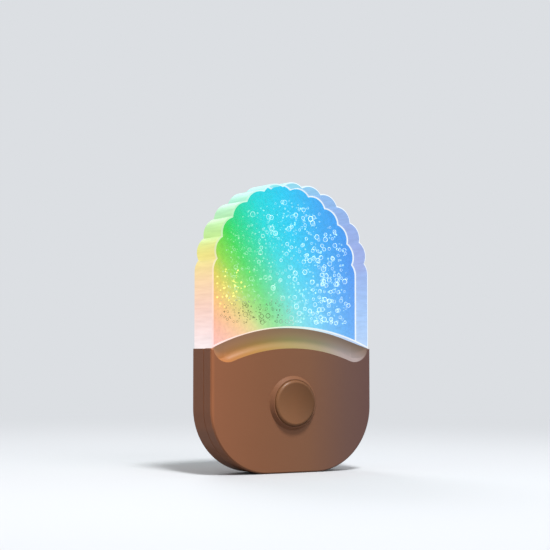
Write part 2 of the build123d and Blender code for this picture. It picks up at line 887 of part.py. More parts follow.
def blade(side):
    """One blade: contact, shoulder on the boss floor, and tab for its wire."""
    with BuildPart() as piece:
        with BuildSketch(Plane.YZ.offset(side * blade_spacing / 2)):
            with Locations((-boss_floor, 0)):
                Rectangle(
                    blade_length + boss_floor,
                    blade_width,
                    align=(Align.MIN, Align.CENTER),
                )
            with Locations((-boss_floor, 0)):
                Rectangle(
                    blade_shoulder_length,
                    blade_shoulder_width,
                    align=(Align.MAX, Align.CENTER),
                )
            with Locations((-boss_floor, 0)):
                Rectangle(
                    carrier_depth + blade_tab_length,
                    blade_tab_width,
                    align=(Align.MAX, Align.CENTER),
                )
            with Locations((blade_length - blade_hole_from_tip, 0)):
                Circle(blade_hole_diameter / 2, mode=Mode.SUBTRACT)
        extrude(amount=blade_thickness / 2, both=True)
        tip_corners = piece.edges().filter_by(Axis.X).group_by(Axis.Y)[-1]
        fillet(tip_corners, blade_tip_corner)
        tip = piece.faces().filter_by(Axis.Y).sort_by(Axis.Y)[-1]
        chamfer(tip.edges().filter_by(Axis.Z), blade_tip_bevel)
    return piece.part


live_blade = blade(1)
live_blade.label = "live_blade"
neutral_blade = blade(-1)
neutral_blade.label = "neutral_blade"

with BuildPart() as blade_carrier:
    with BuildSketch(wall_plane(boss_floor)):
        RectangleRounded(carrier_width, carrier_height, carrier_corner)
        with Locations(*carrier_pin_places):
            Rectangle(
                carrier_pin_size + 2 * carrier_clearance,
                carrier_pin_size + 2 * carrier_clearance,
                mode=Mode.SUBTRACT,
            )
        with Locations(*blade_places):
            Rectangle(
                blade_thickness + 2 * carrier_clearance,
                blade_tab_width + 2 * carrier_clearance,
                mode=Mode.SUBTRACT,
            )
    extrude(amount=carrier_depth)
    with BuildSketch(wall_plane(boss_floor)):
        with Locations(*blade_places):
            Rectangle(
                blade_thickness + 2 * carrier_clearance,
                blade_shoulder_width + 2 * carrier_clearance,
            )
    extrude(amount=blade_shoulder_length, mode=Mode.SUBTRACT)
blade_carrier.part.label = "blade_carrier"


def wire(side):
    """One wire, from the outer face of a blade's tab to its hole in the main board."""
    tab_side = side * (blade_spacing / 2 + blade_thickness / 2 + wire_diameter / 2)
    start = (tab_side, -(carrier_front + blade_tab_length / 2), 0)
    board_end = (side * wire_board_place, -board_front, -wire_drop)
    with BuildPart() as piece:
        with BuildLine():
            Polyline(
                start,
                (tab_side, start[1] - wire_straight, 0),
                (board_end[0], -(board_back - wire_straight), -wire_drop),
                board_end,
            )
        with BuildSketch(Plane(origin=start, z_dir=(0, -1, 0))):
            Circle(wire_diameter / 2)
        sweep(transition=Transition.RIGHT)
    return piece.part


live_wire = wire(1)
live_wire.label = "live_wire"
neutral_wire = wire(-1)
neutral_wire.label = "neutral_wire"

# Screws


def screws(places, seat, towards_front, shank, length, head, head_height):
    """A group of cheese-head screws that share one seat."""
    way = 1 if towards_front else -1
    with BuildPart() as group:
        with BuildSketch(wall_plane(seat)):
            with Locations(*places):
                Circle(head / 2)
        extrude(amount=-way * head_height)
        with BuildSketch(wall_plane(seat)):
            with Locations(*places):
                Circle(shank / 2)
        extrude(amount=way * length)
    return group.part


case_screws = screws(
    post_places,
    screw_seat,
    True,
    case_screw_diameter,
    case_screw_length,
    case_screw_head_diameter,
    case_screw_head_height,
)
case_screws.label = "case_screws"

board_screws = screws(
    board_screw_places,
    board_front,
    False,
    board_screw_diameter,
    board_screw_length,
    board_screw_head_diameter,
    board_screw_head_height,
)
board_screws.label = "board_screws"

# Write one file for each piece

pieces = [
    front_shell.part,
    rear_shell.part,
    light_panel.part,
    mode_button.part,
    switch_body.part,
    switch_cover.part,
    switch_legs.part,
    switch_plunger.part,
    main_board.part,
    led_board.part,
    led_packages.part,
    led_resin.part,
    led_reflector.part,
    header_block.part,
    header_pins.part,
    film_capacitor.part,
    smoothing_capacitor.part,
    bridge_rectifier.part,
    controller_chip.part,
    chip_resistors.part,
    fuse_resistor.part,
    live_blade,
    neutral_blade,
    blade_carrier.part,
    live_wire,
    neutral_wire,
    case_screws,
    board_screws,
]
os.makedirs("parts", exist_ok=True)
for piece in pieces:
    export_step(piece, f"parts/{piece.label}.step")
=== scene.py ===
"""Looks of a plug-in night light with a scalloped bubble panel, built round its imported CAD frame.

Sizes are written in millimetres, unless a class says metres, and are turned to metres by MM. The
wall face is the XZ plane, the lamp stands out along -Y and Z is up, as in the frame.
"""

from __future__ import annotations

import logging
import math
from dataclasses import dataclass
from enum import Enum
from functools import partial
from typing import Any, Mapping, Sequence

import bmesh
import bpy
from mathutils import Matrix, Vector

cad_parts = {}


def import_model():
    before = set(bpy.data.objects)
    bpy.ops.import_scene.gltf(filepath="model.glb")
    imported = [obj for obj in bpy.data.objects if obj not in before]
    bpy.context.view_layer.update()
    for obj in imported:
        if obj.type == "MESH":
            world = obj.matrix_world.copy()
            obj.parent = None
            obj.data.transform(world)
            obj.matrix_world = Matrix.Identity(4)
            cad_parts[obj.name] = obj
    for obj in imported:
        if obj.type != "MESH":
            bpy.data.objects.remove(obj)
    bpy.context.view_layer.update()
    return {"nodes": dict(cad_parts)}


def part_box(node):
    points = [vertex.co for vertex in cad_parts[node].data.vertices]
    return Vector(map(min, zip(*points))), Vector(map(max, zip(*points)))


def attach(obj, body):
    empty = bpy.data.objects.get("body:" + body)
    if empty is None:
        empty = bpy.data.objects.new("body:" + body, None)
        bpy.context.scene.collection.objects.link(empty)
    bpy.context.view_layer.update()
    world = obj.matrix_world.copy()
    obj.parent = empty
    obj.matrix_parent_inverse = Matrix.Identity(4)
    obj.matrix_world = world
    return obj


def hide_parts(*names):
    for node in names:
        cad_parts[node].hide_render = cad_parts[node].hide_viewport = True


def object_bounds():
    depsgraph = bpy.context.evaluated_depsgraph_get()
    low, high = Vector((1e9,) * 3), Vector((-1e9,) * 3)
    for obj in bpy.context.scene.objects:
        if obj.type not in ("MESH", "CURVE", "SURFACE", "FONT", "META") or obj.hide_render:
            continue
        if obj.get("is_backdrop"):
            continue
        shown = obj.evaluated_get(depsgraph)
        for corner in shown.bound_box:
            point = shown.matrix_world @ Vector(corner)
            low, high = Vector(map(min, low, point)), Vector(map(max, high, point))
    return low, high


MM = 0.001
LOG = logging.getLogger("night_light")

Tree = bpy.types.NodeTree
Node = bpy.types.Node
Socket = bpy.types.NodeSocket
Object = bpy.types.Object
Sockets = Mapping[str, Socket]
Inputs = Mapping[Any, Any] | Sequence[Any]

MATH = "ShaderNodeMath"
VECTOR = "ShaderNodeVectorMath"
SPLIT = "ShaderNodeSeparateXYZ"
COMBINE = "ShaderNodeCombineXYZ"
RANGE = "ShaderNodeMapRange"
MIX = "ShaderNodeMix"
RAMP = "ShaderNodeValToRGB"
NOISE = "ShaderNodeTexNoise"
PLACE = "ShaderNodeTexCoord"
MAPPING = "ShaderNodeMapping"
BUMP = "ShaderNodeBump"
SHADER = "ShaderNodeBsdfPrincipled"
POSITION = "GeometryNodeInputPosition"
MOVE = "GeometryNodeTransform"
BOOLEAN = "GeometryNodeMeshBoolean"
INSTANCE = "GeometryNodeInstanceOnPoints"
RANDOM = "FunctionNodeRandomValue"
REALIZE = "GeometryNodeRealizeInstances"
MATERIAL = "GeometryNodeSetMaterial"

# The numbers of sockets whose names aren't their own: a Mix node's share, its two colours and its
# mixed colour, and a Random Value node's least, most and drawn number.
SHARE, FIRST, SECOND, MIXED = 0, 6, 7, 2
LEAST, MOST, DRAWN = 2, 3, 1

ACRYLIC_IOR = 1.49
PLASTIC_IOR = 1.54
UPRIGHT = (math.radians(90), 0.0, 0.0)

# Keeps a face that lies right on a limit to its own side of it, whatever the rounding.
NUDGE_MM = 0.01

# A ramp's stops, each with its position and colour, and the two ends of a range.
Stops = tuple[tuple[float, str], ...]
Span = tuple[float, float]


def linear(hex_colour: str) -> tuple[float, float, float, float]:
    """Turn an sRGB hex colour to the linear values that Blender's sockets hold.

    Args:
        hex_colour: The colour as "#rrggbb".

    Returns:
        The linear red, green, blue and an alpha of 1.
    """
    levels = [int(hex_colour[start : start + 2], 16) / 255 for start in (1, 3, 5)]
    red, green, blue = (
        level / 12.92 if level <= 0.04045 else ((level + 0.055) / 1.055) ** 2.4 for level in levels
    )
    return red, green, blue, 1.0


def per_mm(size_mm: float) -> float:
    """The scale of a noise whose blots are as wide as a real size in millimetres."""
    return 1 / (size_mm * MM)


def fill(tree: Tree, node: Node, inputs: Inputs) -> None:
    """Give a node its input values and links.

    Args:
        tree: The node tree that holds the node.
        node: The node.
        inputs: Its input values, in order or keyed by name or number. A node stands for its
            first output, a list for several links to one input, and None for no change.
    """
    pairs = inputs.items() if isinstance(inputs, Mapping) else enumerate(inputs)
    for key, given in pairs:
        for value in given if isinstance(given, list) else [given]:
            if isinstance(value, Node):
                value = value.outputs[0]
            if isinstance(value, Socket):
                tree.links.new(value, node.inputs[key])
            elif value is not None:
                node.inputs[key].default_value = value


def add_node(
    tree: Tree, kind: str, inputs: Inputs = (), operation: str = "", **settings: Any
) -> Node:
    """Add a node with its settings, values and links.

    Args:
        tree: The node tree that gets the node.
        kind: The node's type name.
        inputs: Its input values, as fill takes them.
        operation: Its operation, where it has one to choose.
        settings: Its other properties.

    Returns:
        The new node.
    """
    node = tree.nodes.new(kind)
    if operation:
        node.operation = operation
    for name, value in settings.items():
        setattr(node, name, value)
    fill(tree, node, inputs)
    return node


def set_stops(ramp: Node, stops: Sequence[tuple[float, str]]) -> None:
    """Give a colour ramp its stops.

    Args:
        ramp: The colour ramp node.
        stops: Each stop's position and sRGB hex colour, in order.
    """
    elements = ramp.color_ramp.elements
    while len(elements) < len(stops):
        elements.new(1.0)
    for element, (position, colour) in zip(elements, stops):
        element.position = position
        element.color = linear(colour)


class Finish:
    """A surface finish that builds its own procedural material once."""

    name: str

    def material(self) -> bpy.types.Material:
        """Find this finish's material, or build it the first time it is asked for.

        Returns:
            The material.
        """
        found = bpy.data.materials.get(self.name)
        if found is not None:
            return found
        made = bpy.data.materials.new(self.name)
        made.use_nodes = True
        made.node_tree.nodes.clear()
        shader = self.shade(made.node_tree)
        add_node(made.node_tree, "ShaderNodeOutputMaterial", {"Surface": shader})
        return made

    def shade(self, tree: Tree) -> Node:
        """Build the nodes of this finish in a material's tree and return its shader."""
        raise NotImplementedError


@dataclass(frozen=True)
class MouldedPlastic(Finish):
    """Injection-moulded plastic.

    The mould's spark-eroded skin leaves a fine satin grain, and the melt's flow leaves wide,
    faint changes of shade. The grain is drawn coarser than the real one, so that it shows.
    """

    name: str
    roughness: float = 0.42
    gloss: float = 0.3
    grain_mm: float = 0.35
    grain_depth_mm: float = 0.004
    grain_strength: float = 0.25
    rough_change: float = 0.05
    shade_change: float = 0.06
    flow_mm: float = 18.0
    flow_layers: float = 3.0

    def tint(self, tree: Tree) -> Node:
        """Build the nodes of the plastic's colour, with any light painted into it, and return the
        last.
        """
        raise NotImplementedError

    def shade(self, tree: Tree) -> Node:
        """Build the plastic's shader.

        Args:
            tree: The material's node tree.

        Returns:
            The shader node.
        """
        add = partial(add_node, tree)
        place = add(PLACE).outputs["Object"]
        inputs = {"Vector": place, "Scale": per_mm(self.flow_mm), "Detail": self.flow_layers}
        flow = add(NOISE, inputs)
        level = add(RANGE, [flow, None, None, 1 - self.shade_change])
        shaded = add(VECTOR, {"Vector": self.tint(tree), "Scale": level}, "SCALE")
        grain = add(NOISE, {"Vector": place, "Scale": per_mm(self.grain_mm)})
        smoothest = self.roughness - self.rough_change
        roughest = self.roughness + self.rough_change
        rough = add(RANGE, [grain, None, None, smoothest, roughest])
        depth = self.grain_depth_mm * MM
        bump = add(BUMP, {"Height": grain, "Strength": self.grain_strength, "Distance": depth})
        inputs = {
            "Base Color": shaded,
            "Roughness": rough,
            "Normal": bump,
            "IOR": PLASTIC_IOR,
            "Specular IOR Level": self.gloss,
        }
        return add(SHADER, inputs)


@dataclass(frozen=True, kw_only=True)
class ColouredPlastic(MouldedPlastic):
    """Moulded plastic that is dyed one colour all through."""

    colour: str

    def tint(self, tree: Tree) -> Node:
        """Build the node of the plastic's one colour.

        Args:
            tree: The material's node tree.

        Returns:
            The colour's node.
        """
        own = add_node(tree, "ShaderNodeRGB")
        own.outputs[0].default_value = linear(self.colour)
        return own


@dataclass(frozen=True, kw_only=True)
class RoomLightPaintedPlastic(MouldedPlastic):
    """Moulded plastic with the room's coloured light painted on it, from a warm left to a cool
    right.

    The painted light stands for the coloured light of the room, which falls on it from both sides.
    The reach is how far the colours run to each side of the lamp's middle.
    """

    # The plastic's colour with the room's light painted in, as ramp stops from left to right.
    colour_and_room_light: Stops = ((0.0, "#8e603e"), (0.5, "#845838"), (1.0, "#6c482c"))
    reach: float = 6.4

    def across(self, tree: Tree) -> Node:
        """Build the nodes of a value that runs from 0 at the piece's left to 1 at its right.

        Args:
            tree: The material's node tree.

        Returns:
            The value's node.
        """
        add = partial(add_node, tree)
        axes = add(SPLIT, [add(PLACE).outputs["Object"]]).outputs
        return add(RANGE, [axes["X"], -self.reach * MM, self.reach * MM])

    def tint(self, tree: Tree) -> Node:
        """Build the nodes of the plastic's colours with the room's light painted in, from left to
        right.

        Args:
            tree: The material's node tree.

        Returns:
            The colours' ramp.
        """
        tint = add_node(tree, RAMP, [self.across(tree)])
        set_stops(tint, self.colour_and_room_light)
        return tint


@dataclass(frozen=True, kw_only=True)
class CoveLitPlastic(RoomLightPaintedPlastic):
    """The housing's moulded plastic, with the panel's light painted on the cove at the panel's
    foot.

    The light that leaves the panel's foot is painted into the hollow below the panel: a warm, dim
    light high in the hollow, and the panel's own colours on the lip below. The lip and the edge
    above the hollow are arcs about one centre. The left wall, the first stop, has more of the
    room's warm light painted on it than the front.
    """

    colour_and_room_light: Stops = (
        (0.0, "#ac6b46"),
        (0.012, "#9c6343"),
        (0.3, "#905e40"),
        (0.6, "#885d43"),
        (0.85, "#75554a"),
        (1.0, "#6e504a"),
    )
    reach: float = 26.0
    front: float = 21.2
    front_fade: float = 0.55
    seat: float = 16.5
    centre: float = -40.18
    lip: float = 54.4
    lip_edge: float = 0.3
    lip_fade: float = 0.8
    edge: float = 60.3
    edge_fade: float = 0.5
    glow: float = 0.26
    far_share: float = 0.5
    far_glow: str = "#f0d8b4"
    glow_stops: Stops = (
        (0.08, "#dc9838"),
        (0.3, "#c4bc40"),
        (0.5, "#acdc80"),
        (0.7, "#bce4b4"),
        (0.86, "#f0f8fc"),
    )

    def shade(self, tree: Tree) -> Node:
        """Build the plastic's shader with the panel's light painted on the cove.

        Args:
            tree: The material's node tree.

        Returns:
            The shader node.
        """
        add = partial(add_node, tree)
        shader = super().shade(tree)
        axes = add(SPLIT, [add(PLACE).outputs["Object"]]).outputs
        rise = add(MATH, [axes["Z"], self.centre * MM], "SUBTRACT")
        spoke = add(COMBINE, {"X": axes["X"], "Y": rise})
        radius = add(VECTOR, [spoke], "LENGTH").outputs["Value"]
        top = (self.edge + self.edge_fade) * MM
        bottom = (self.lip + self.lip_fade) * MM
        near = add(RANGE, [radius, top, bottom], interpolation_type="SMOOTHSTEP")
        aside = add(MATH, [axes["X"]], "ABSOLUTE")
        inmost = (self.lip - self.lip_edge) * MM
        limits = (
            add(MATH, [radius, inmost], "GREATER_THAN"),
            add(RANGE, [axes["Y"], -self.front * MM, (self.front_fade - self.front) * MM]),
            add(MATH, [axes["Y"], -self.seat * MM], "LESS_THAN"),
            add(MATH, [self.reach * MM, aside], "GREATER_THAN"),
            self.glow,
        )
        # The panel's light painted on the cove, strongest at the lip and dimmer high in the hollow.
        strength = add(RANGE, {"Value": near, "To Min": self.far_share})
        for limit in limits:
            strength = add(MATH, [strength, limit], "MULTIPLY")
        lip = add(RAMP, [self.across(tree)])
        set_stops(lip, self.glow_stops)
        colours = {SHARE: near, FIRST: linear(self.far_glow), SECOND: lip}
        glow = add(MIX, colours, data_type="RGBA").outputs[MIXED]
        fill(tree, shader, {"Emission Color": glow, "Emission Strength": strength})
        return shader


@dataclass(frozen=True)
class GlowFan:
    """Colours of the panel's light, fanned out from below the panel's right end.

    Lamps of different colours shine up into the panel from one end of its foot to the other. A
    place's colour depends on its distance to the left of the pole, as a share of its height
    above the pole. A haze lies over the foot, white at the left and cooler at the right.
    """

    pole_across: float = 23.0
    pole_level: float = -20.0
    haze: float = 0.42
    haze_foot: float = 14.0
    haze_height: float = 38.0
    haze_fall: float = 1.9
    left_haze: str = "#ffffff"
    right_haze: str = "#98dcff"
    stops: Stops = (
        (-1.40, "#ff7c80"),
        (-1.08, "#ff9c58"),
        (-0.92, "#fcb838"),
        (-0.80, "#dcd028"),
        (-0.70, "#84dc28"),
        (-0.60, "#2cdc50"),
        (-0.50, "#10dca0"),
        (-0.40, "#08dce0"),
        (-0.28, "#1cd0f8"),
        (-0.14, "#38b0f8"),
        (0.02, "#4698f4"),
        (0.12, "#5490f4"),
    )

    def colour(self, tree: Tree, left: float, right: float) -> Socket:
        """Build the nodes of the light's colour.

        Args:
            tree: The material's node tree.
            left: How far the colour is mixed with the haze at the panel's left end, from 0 to 1.
            right: The same at its right end.

        Returns:
            The colour socket.
        """
        add = partial(add_node, tree)
        axes = add(SPLIT, [add(PLACE).outputs["Object"]]).outputs
        across = add(MATH, [axes["X"], self.pole_across * MM], "SUBTRACT")
        height = add(MATH, [axes["Z"], self.pole_level * MM], "SUBTRACT")
        fanned = add(MATH, [across, height], "DIVIDE")
        first, last = self.stops[0][0], self.stops[-1][0]
        hues = add(RAMP, [add(RANGE, [fanned, first, last])])
        set_stops(hues, [((stop - first) / (last - first), colour) for stop, colour in self.stops])
        top = self.haze_foot + self.haze_height
        low = add(RANGE, [axes["Z"], top * MM, self.haze_foot * MM])
        fall = add(MATH, [low, self.haze_fall], "POWER")
        haze = add(MATH, [fall, self.haze], "MULTIPLY")
        end = self.pole_across * MM
        base = add(RANGE, [axes["X"], -end, end, left, right])
        share = add(MIX, {"Factor": base, "A": haze, "B": 1.0}, data_type="FLOAT")
        cool = add(RANGE, [axes["X"], 0.0, end])
        colours = {SHARE: cool, FIRST: linear(self.left_haze), SECOND: linear(self.right_haze)}
        mist = add(MIX, colours, data_type="RGBA").outputs[MIXED]
        colours = {SHARE: share, FIRST: hues, SECOND: mist}
        return add(MIX, colours, data_type="RGBA").outputs[MIXED]


@dataclass(frozen=True)
class GlowingAcrylic(Finish):
    """Acrylic whose surface scatters the coloured light led inside it.

    The back is frosted and glows evenly, with the fine mottle of its blasted skin. The sawn and
    polished side walls keep faint lines across their depth, and the bevels gather most light.
    """

    name: str
    left: float = 0.0
    right: float = 0.0
    strength: float = 1.02
    body: float = 0.05
    clearness: float = 0.0
    roughness: float = 0.5
    gloss: float = 0.25
    mottle: float = 0.14
    mottle_mm: float = 0.9
    mottle_from: Span = (0.3, 0.7)
    stretch: float = 1.0
    fan: GlowFan = GlowFan()

    def shade(self, tree: Tree) -> Node:
        """Build the glowing acrylic's shader.

        Args:
            tree: The material's node tree.

        Returns:
            The shader node.
        """
        add = partial(add_node, tree)
        place = add(PLACE).outputs["Object"]
        drawn = add(MAPPING, {"Vector": place, "Scale": (1.0, 1 / self.stretch, 1.0)})
        specks = add(NOISE, {"Vector": drawn, "Scale": per_mm(self.mottle_mm)})
        light = add(RANGE, [specks, *self.mottle_from, 1 - self.mottle])
        even = self.fan.colour(tree, self.left, self.right)
        glow = add(VECTOR, {"Vector": even, "Scale": light}, "SCALE")
        colours = {SHARE: self.body, FIRST: linear("#000000"), SECOND: glow}
        inputs = {
            "Base Color": add(MIX, colours, data_type="RGBA").outputs[MIXED],
            "Roughness": self.roughness,
            "IOR": ACRYLIC_IOR,
            "Specular IOR Level": self.gloss,
            "Transmission Weight": self.clearness,
            "Emission Color": glow,
            "Emission Strength": self.strength,
        }
        return add(SHADER, inputs)


@dataclass(frozen=True)
class ClearAcrylic(Finish):
    """Cast acrylic with a polished face: clear, with only a breath of haze from handling."""

    name: str
    haze_mm: float = 7.0
    haze: float = 0.03

    def shade(self, tree: Tree) -> Node:
        """Build the clear acrylic's shader.

        Args:
            tree: The material's node tree.

        Returns:
            The shader node.
        """
        add = partial(add_node, tree)
        place = add(PLACE).outputs["Object"]
        blots = add(NOISE, {"Vector": place, "Scale": per_mm(self.haze_mm)})
        rough = add(RANGE, {"Value": blots, "To Max": self.haze})
        inputs = {
            "Base Color": linear("#ffffff"),
            "Roughness": rough,
            "IOR": ACRYLIC_IOR,
            "Transmission Weight": 1.0,
        }
        return add(SHADER, inputs)


@dataclass(frozen=True)
class AirBubble(Finish):
    """Air shut in acrylic, with the light on its wall painted.

    Its wall is painted with the light that runs along the panel, as if thrown at the eye, and its
    middle lets the glow through, so it shows as a bright ring. Its outermost rim, where the light
    bends away, is painted dark. Low at the left, past the lamps, the whole ring is painted dark.
    Rings are firmer at the right than at the left, and slow noise leaves some of them faint.
    """

    name: str
    bright: str = "#f0ffff"
    rim: str = "#2c78b8"
    rim_from: Span = (0.78, 0.9)
    dark: str = "#4c5018"
    dark_across: Span = (5.0, -3.0)
    dark_level: Span = (29.5, 26.5)
    strength: float = 0.95
    dark_strength: float = 0.1
    roughness: float = 0.3
    ring: Span = (0.36, 0.6)
    middle: float = 0.03
    firm_across: Span = (-16.0, 8.0)
    firmness: Span = (0.3, 0.75)
    change_mm: float = 2.2
    change_from: Span = (0.35, 0.6)
    faintest: float = 0.35

    def shade(self, tree: Tree) -> Node:
        """Build the bubble wall's shader.

        Args:
            tree: The material's node tree.

        Returns:
            The shader node.
        """
        add = partial(add_node, tree)
        # Painted light: a bright ring, a dark rim, and dark unlit rings low at the left.
        facing = add("ShaderNodeLayerWeight").outputs["Facing"]
        ring = add(RANGE, [facing, *self.ring, self.middle])
        outer = add(RANGE, [facing, *self.rim_from])
        place = add(PLACE).outputs["Object"]
        axes = add(SPLIT, [place]).outputs
        leftward = add(RANGE, [axes["X"], *(end * MM for end in self.dark_across)])
        downward = add(RANGE, [axes["Z"], *(end * MM for end in self.dark_level)])
        unlit = add(MATH, [leftward, downward], "MULTIPLY")
        colours = {SHARE: outer, FIRST: linear(self.bright), SECOND: linear(self.rim)}
        ringed = add(MIX, colours, data_type="RGBA").outputs[MIXED]
        colours = {SHARE: unlit, FIRST: ringed, SECOND: linear(self.dark)}
        colour = add(MIX, colours, data_type="RGBA").outputs[MIXED]
        ends = (end * MM for end in self.firm_across)
        firm = add(RANGE, [axes["X"], *ends, *self.firmness])
        firmest = add(MATH, [firm, unlit], "MAXIMUM")
        blots = add(NOISE, {"Vector": place, "Scale": per_mm(self.change_mm)})
        change = add(RANGE, [blots, *self.change_from, self.faintest])
        uneven = add(MATH, [firmest, change], "MULTIPLY")
        inputs = {
            "Base Color": colour,
            "Roughness": self.roughness,
            "Specular IOR Level": 0.0,
            "Emission Color": colour,
            "Emission Strength": add(RANGE, [unlit, None, None, self.strength, self.dark_strength]),
            "Alpha": add(MATH, [ring, uneven], "MULTIPLY"),
        }
        return add(SHADER, inputs)


@dataclass(frozen=True)
class PlatedMetal(Finish):
    """Plated metal: the thin plating keeps the fine lines that drawing and stamping left.

    The lines run along the depth, and are drawn coarser than the real ones, so that they show.
    """

    name: str
    colour: str
    roughness: float = 0.28
    rough_change: Span = (0.08, 0.1)
    line_mm: float = 0.12
    line_layers: float = 3.0
    line_stretch: float = 20.0
    line_depth_mm: float = 0.01
    line_strength: float = 0.15

    def shade(self, tree: Tree) -> Node:
        """Build the metal's shader.

        Args:
            tree: The material's node tree.

        Returns:
            The shader node.
        """
        add = partial(add_node, tree)
        place = add(PLACE).outputs["Object"]
        drawn = add(MAPPING, {"Vector": place, "Scale": (1.0, 1 / self.line_stretch, 1.0)})
        inputs = {"Vector": drawn, "Scale": per_mm(self.line_mm), "Detail": self.line_layers}
        lines = add(NOISE, inputs)
        smoother, rougher = self.rough_change
        ends = self.roughness - smoother, self.roughness + rougher
        rough = add(RANGE, [lines, None, None, *ends])
        depth = self.line_depth_mm * MM
        bump = add(BUMP, {"Height": lines, "Strength": self.line_strength, "Distance": depth})
        colour = linear(self.colour)
        inputs = {"Base Color": colour, "Metallic": 1.0, "Roughness": rough, "Normal": bump}
        return add(SHADER, inputs)


@dataclass(frozen=True)
class SolderMask(Finish):
    """Printed board: a thin glossy lacquer over glass cloth, whose weave just shows through.

    Blender's wave texture draws about six threads and gaps to a unit of its scale.
    """

    name: str
    colour: str
    weave_mm: float = 0.5
    weave_waver: float = 0.6
    weave_change: float = 0.12
    threads_per_unit: float = 6.0
    roughness: float = 0.3
    mask_ior: float = 1.5

    def shade(self, tree: Tree) -> Node:
        """Build the board's shader.

        Args:
            tree: The material's node tree.

        Returns:
            The shader node.
        """
        add = partial(add_node, tree)
        place = add(PLACE).outputs["Object"]
        scale = per_mm(self.weave_mm) / self.threads_per_unit
        inputs = {"Vector": place, "Scale": scale, "Distortion": self.weave_waver}
        threads = [
            add("ShaderNodeTexWave", inputs, bands_direction=direction).outputs["Fac"]
            for direction in ("X", "Z")
        ]
        weave = add(MATH, threads, "MAXIMUM")
        depth = add(RANGE, [weave, None, None, 1 - self.weave_change])
        own = linear(self.colour)[:3]
        shaded = add(VECTOR, {"Vector": own, "Scale": depth}, "SCALE")
        inputs = {"Base Color": shaded, "Roughness": self.roughness, "IOR": self.mask_ior}
        return add(SHADER, inputs)


class Slot(Enum):
    """The material slots of the record, by name."""

    HOUSING = "housing_plastic"
    BUTTON = "button_plastic"
    PANEL = "clear_acrylic"
    SCREW = "screw_steel"


# Satin ABS off a spark-eroded mould, painted dim and brown with the room's coloured light.
SHELL_ABS = CoveLitPlastic("satin_abs_shell")
BUTTON_ABS = RoomLightPaintedPlastic("satin_abs_button", roughness=0.36)

# Cast acrylic: its blasted back and its sawn, polished sides glow, and its bevels are bright.
PANEL_BACK = GlowingAcrylic("frosted_acrylic_back")
SIDE_FAN = GlowFan(
    haze=0.85,
    haze_height=46.0,
    haze_fall=1.8,
    right_haze="#c8e0ff",
    stops=(
        (-1.40, "#ff7c80"),
        (-1.08, "#ff9c58"),
        (-0.92, "#fcc458"),
        (-0.80, "#f0e034"),
        (-0.70, "#b8ec78"),
        (-0.55, "#a8ecc0"),
        (-0.36, "#94ecec"),
        (-0.14, "#90bcec"),
        (0.05, "#98a4e0"),
        (0.07, "#80b0f0"),
        (0.1, "#70acf0"),
    ),
)
PANEL_SIDE = GlowingAcrylic(
    "polished_acrylic_side",
    left=0.06,
    strength=0.98,
    body=0.06,
    mottle=0.12,
    mottle_mm=0.7,
    stretch=12.0,
    fan=SIDE_FAN,
)
PANEL_BEVEL = GlowingAcrylic(
    "bright_acrylic_bevel",
    left=0.45,
    right=0.95,
    strength=0.98,
    body=0.1,
    clearness=0.1,
    roughness=0.1,
    mottle=0.1,
    mottle_mm=2.0,
    fan=GlowFan(right_haze="#f4fcff"),
)
PANEL_FACE = ClearAcrylic("clear_acrylic_face")

# Air in acrylic with painted light: large bubbles show as rings, and specks too fine for a ring as
# dots.
BUBBLE_WALL = AirBubble("air_bubble_wall")
FINE_WALL = AirBubble(
    "fine_bubble_wall",
    bright="#dcfff0",
    rim="#48b090",
    ring=(0.0, 0.4),
    middle=0.1,
    firmness=(0.18, 0.42),
)
# Specks low at the left, with the panel's yellow light painted on them.
YELLOW_LIT_WALL = AirBubble(
    "yellow_lit_bubble_wall",
    bright="#fff890",
    rim="#b88820",
    ring=(0.0, 0.4),
    middle=0.3,
    firmness=(0.65, 0.4),
    dark_level=(25.0, 22.0),
)

# Nickel and tin are warm and bright, zinc is greyer, and a screw's recess is painted dark as shade.
NICKEL = PlatedMetal("nickel_plated_brass", "#c9c6bd")
ZINC = PlatedMetal("zinc_plated_steel", "#a9abae", roughness=0.34)
RECESS_SHADE = PlatedMetal("painted_shade_screw_recess", "#4a4b4e", roughness=0.55)
TIN = PlatedMetal("tinned_steel", "#c2c1bd", roughness=0.36)

# Inside, filled plastics and cement are matt, and sleeves, resin and glaze are shiny.
MATT_BLACK = ColouredPlastic("matt_black_moulding", colour="#1c1c1e", roughness=0.6)
WHITE_NYLON = ColouredPlastic("white_nylon", colour="#e4e2dc", roughness=0.5)
INNER_FINISHES = {
    "switch_body": MATT_BLACK,
    "switch_cover": TIN,
    "switch_legs": TIN,
    "switch_plunger": MATT_BLACK,
    "main_board": SolderMask("green_solder_mask", "#2c6a42"),
    "led_board": SolderMask("white_solder_mask", "#e6e6e0"),
    "led_packages": ColouredPlastic("white_lamp_package", colour="#ececea", roughness=0.5),
    "led_resin": ColouredPlastic("clear_lamp_resin", colour="#f2f0d8", roughness=0.15),
    "led_reflector": WHITE_NYLON,
    "header_block": MATT_BLACK,
    "header_pins": TIN,
    "film_capacitor": ColouredPlastic("yellow_capacitor_case", colour="#c8a62c", roughness=0.3),
    "smoothing_capacitor": ColouredPlastic("shrink_sleeve", colour="#23232a", roughness=0.25),
    "bridge_rectifier": MATT_BLACK,
    "controller_chip": MATT_BLACK,
    "chip_resistors": ColouredPlastic("glazed_ceramic", colour="#282828", roughness=0.2),
    "fuse_resistor": ColouredPlastic(
        "cement_coating", colour="#7a8a7a", roughness=0.7, grain_mm=0.15
    ),
    "live_blade": NICKEL,
    "neutral_blade": NICKEL,
    "blade_carrier": WHITE_NYLON,
    "live_wire": ColouredPlastic("black_pvc", colour="#1e1e1e", roughness=0.45),
    "neutral_wire": ColouredPlastic("white_pvc", colour="#e2e2dc", roughness=0.45),
    "board_screws": ZINC,
}


def link_object(name: str, data: bpy.types.ID) -> Object:
    """Make an object and link it to the scene.

    Args:
        name: The object's name.
        data: Its mesh, light or camera.

    Returns:
        The object, at the origin.
    """
    made = bpy.data.objects.new(name, data)
    bpy.context.scene.collection.objects.link(made)
    return made


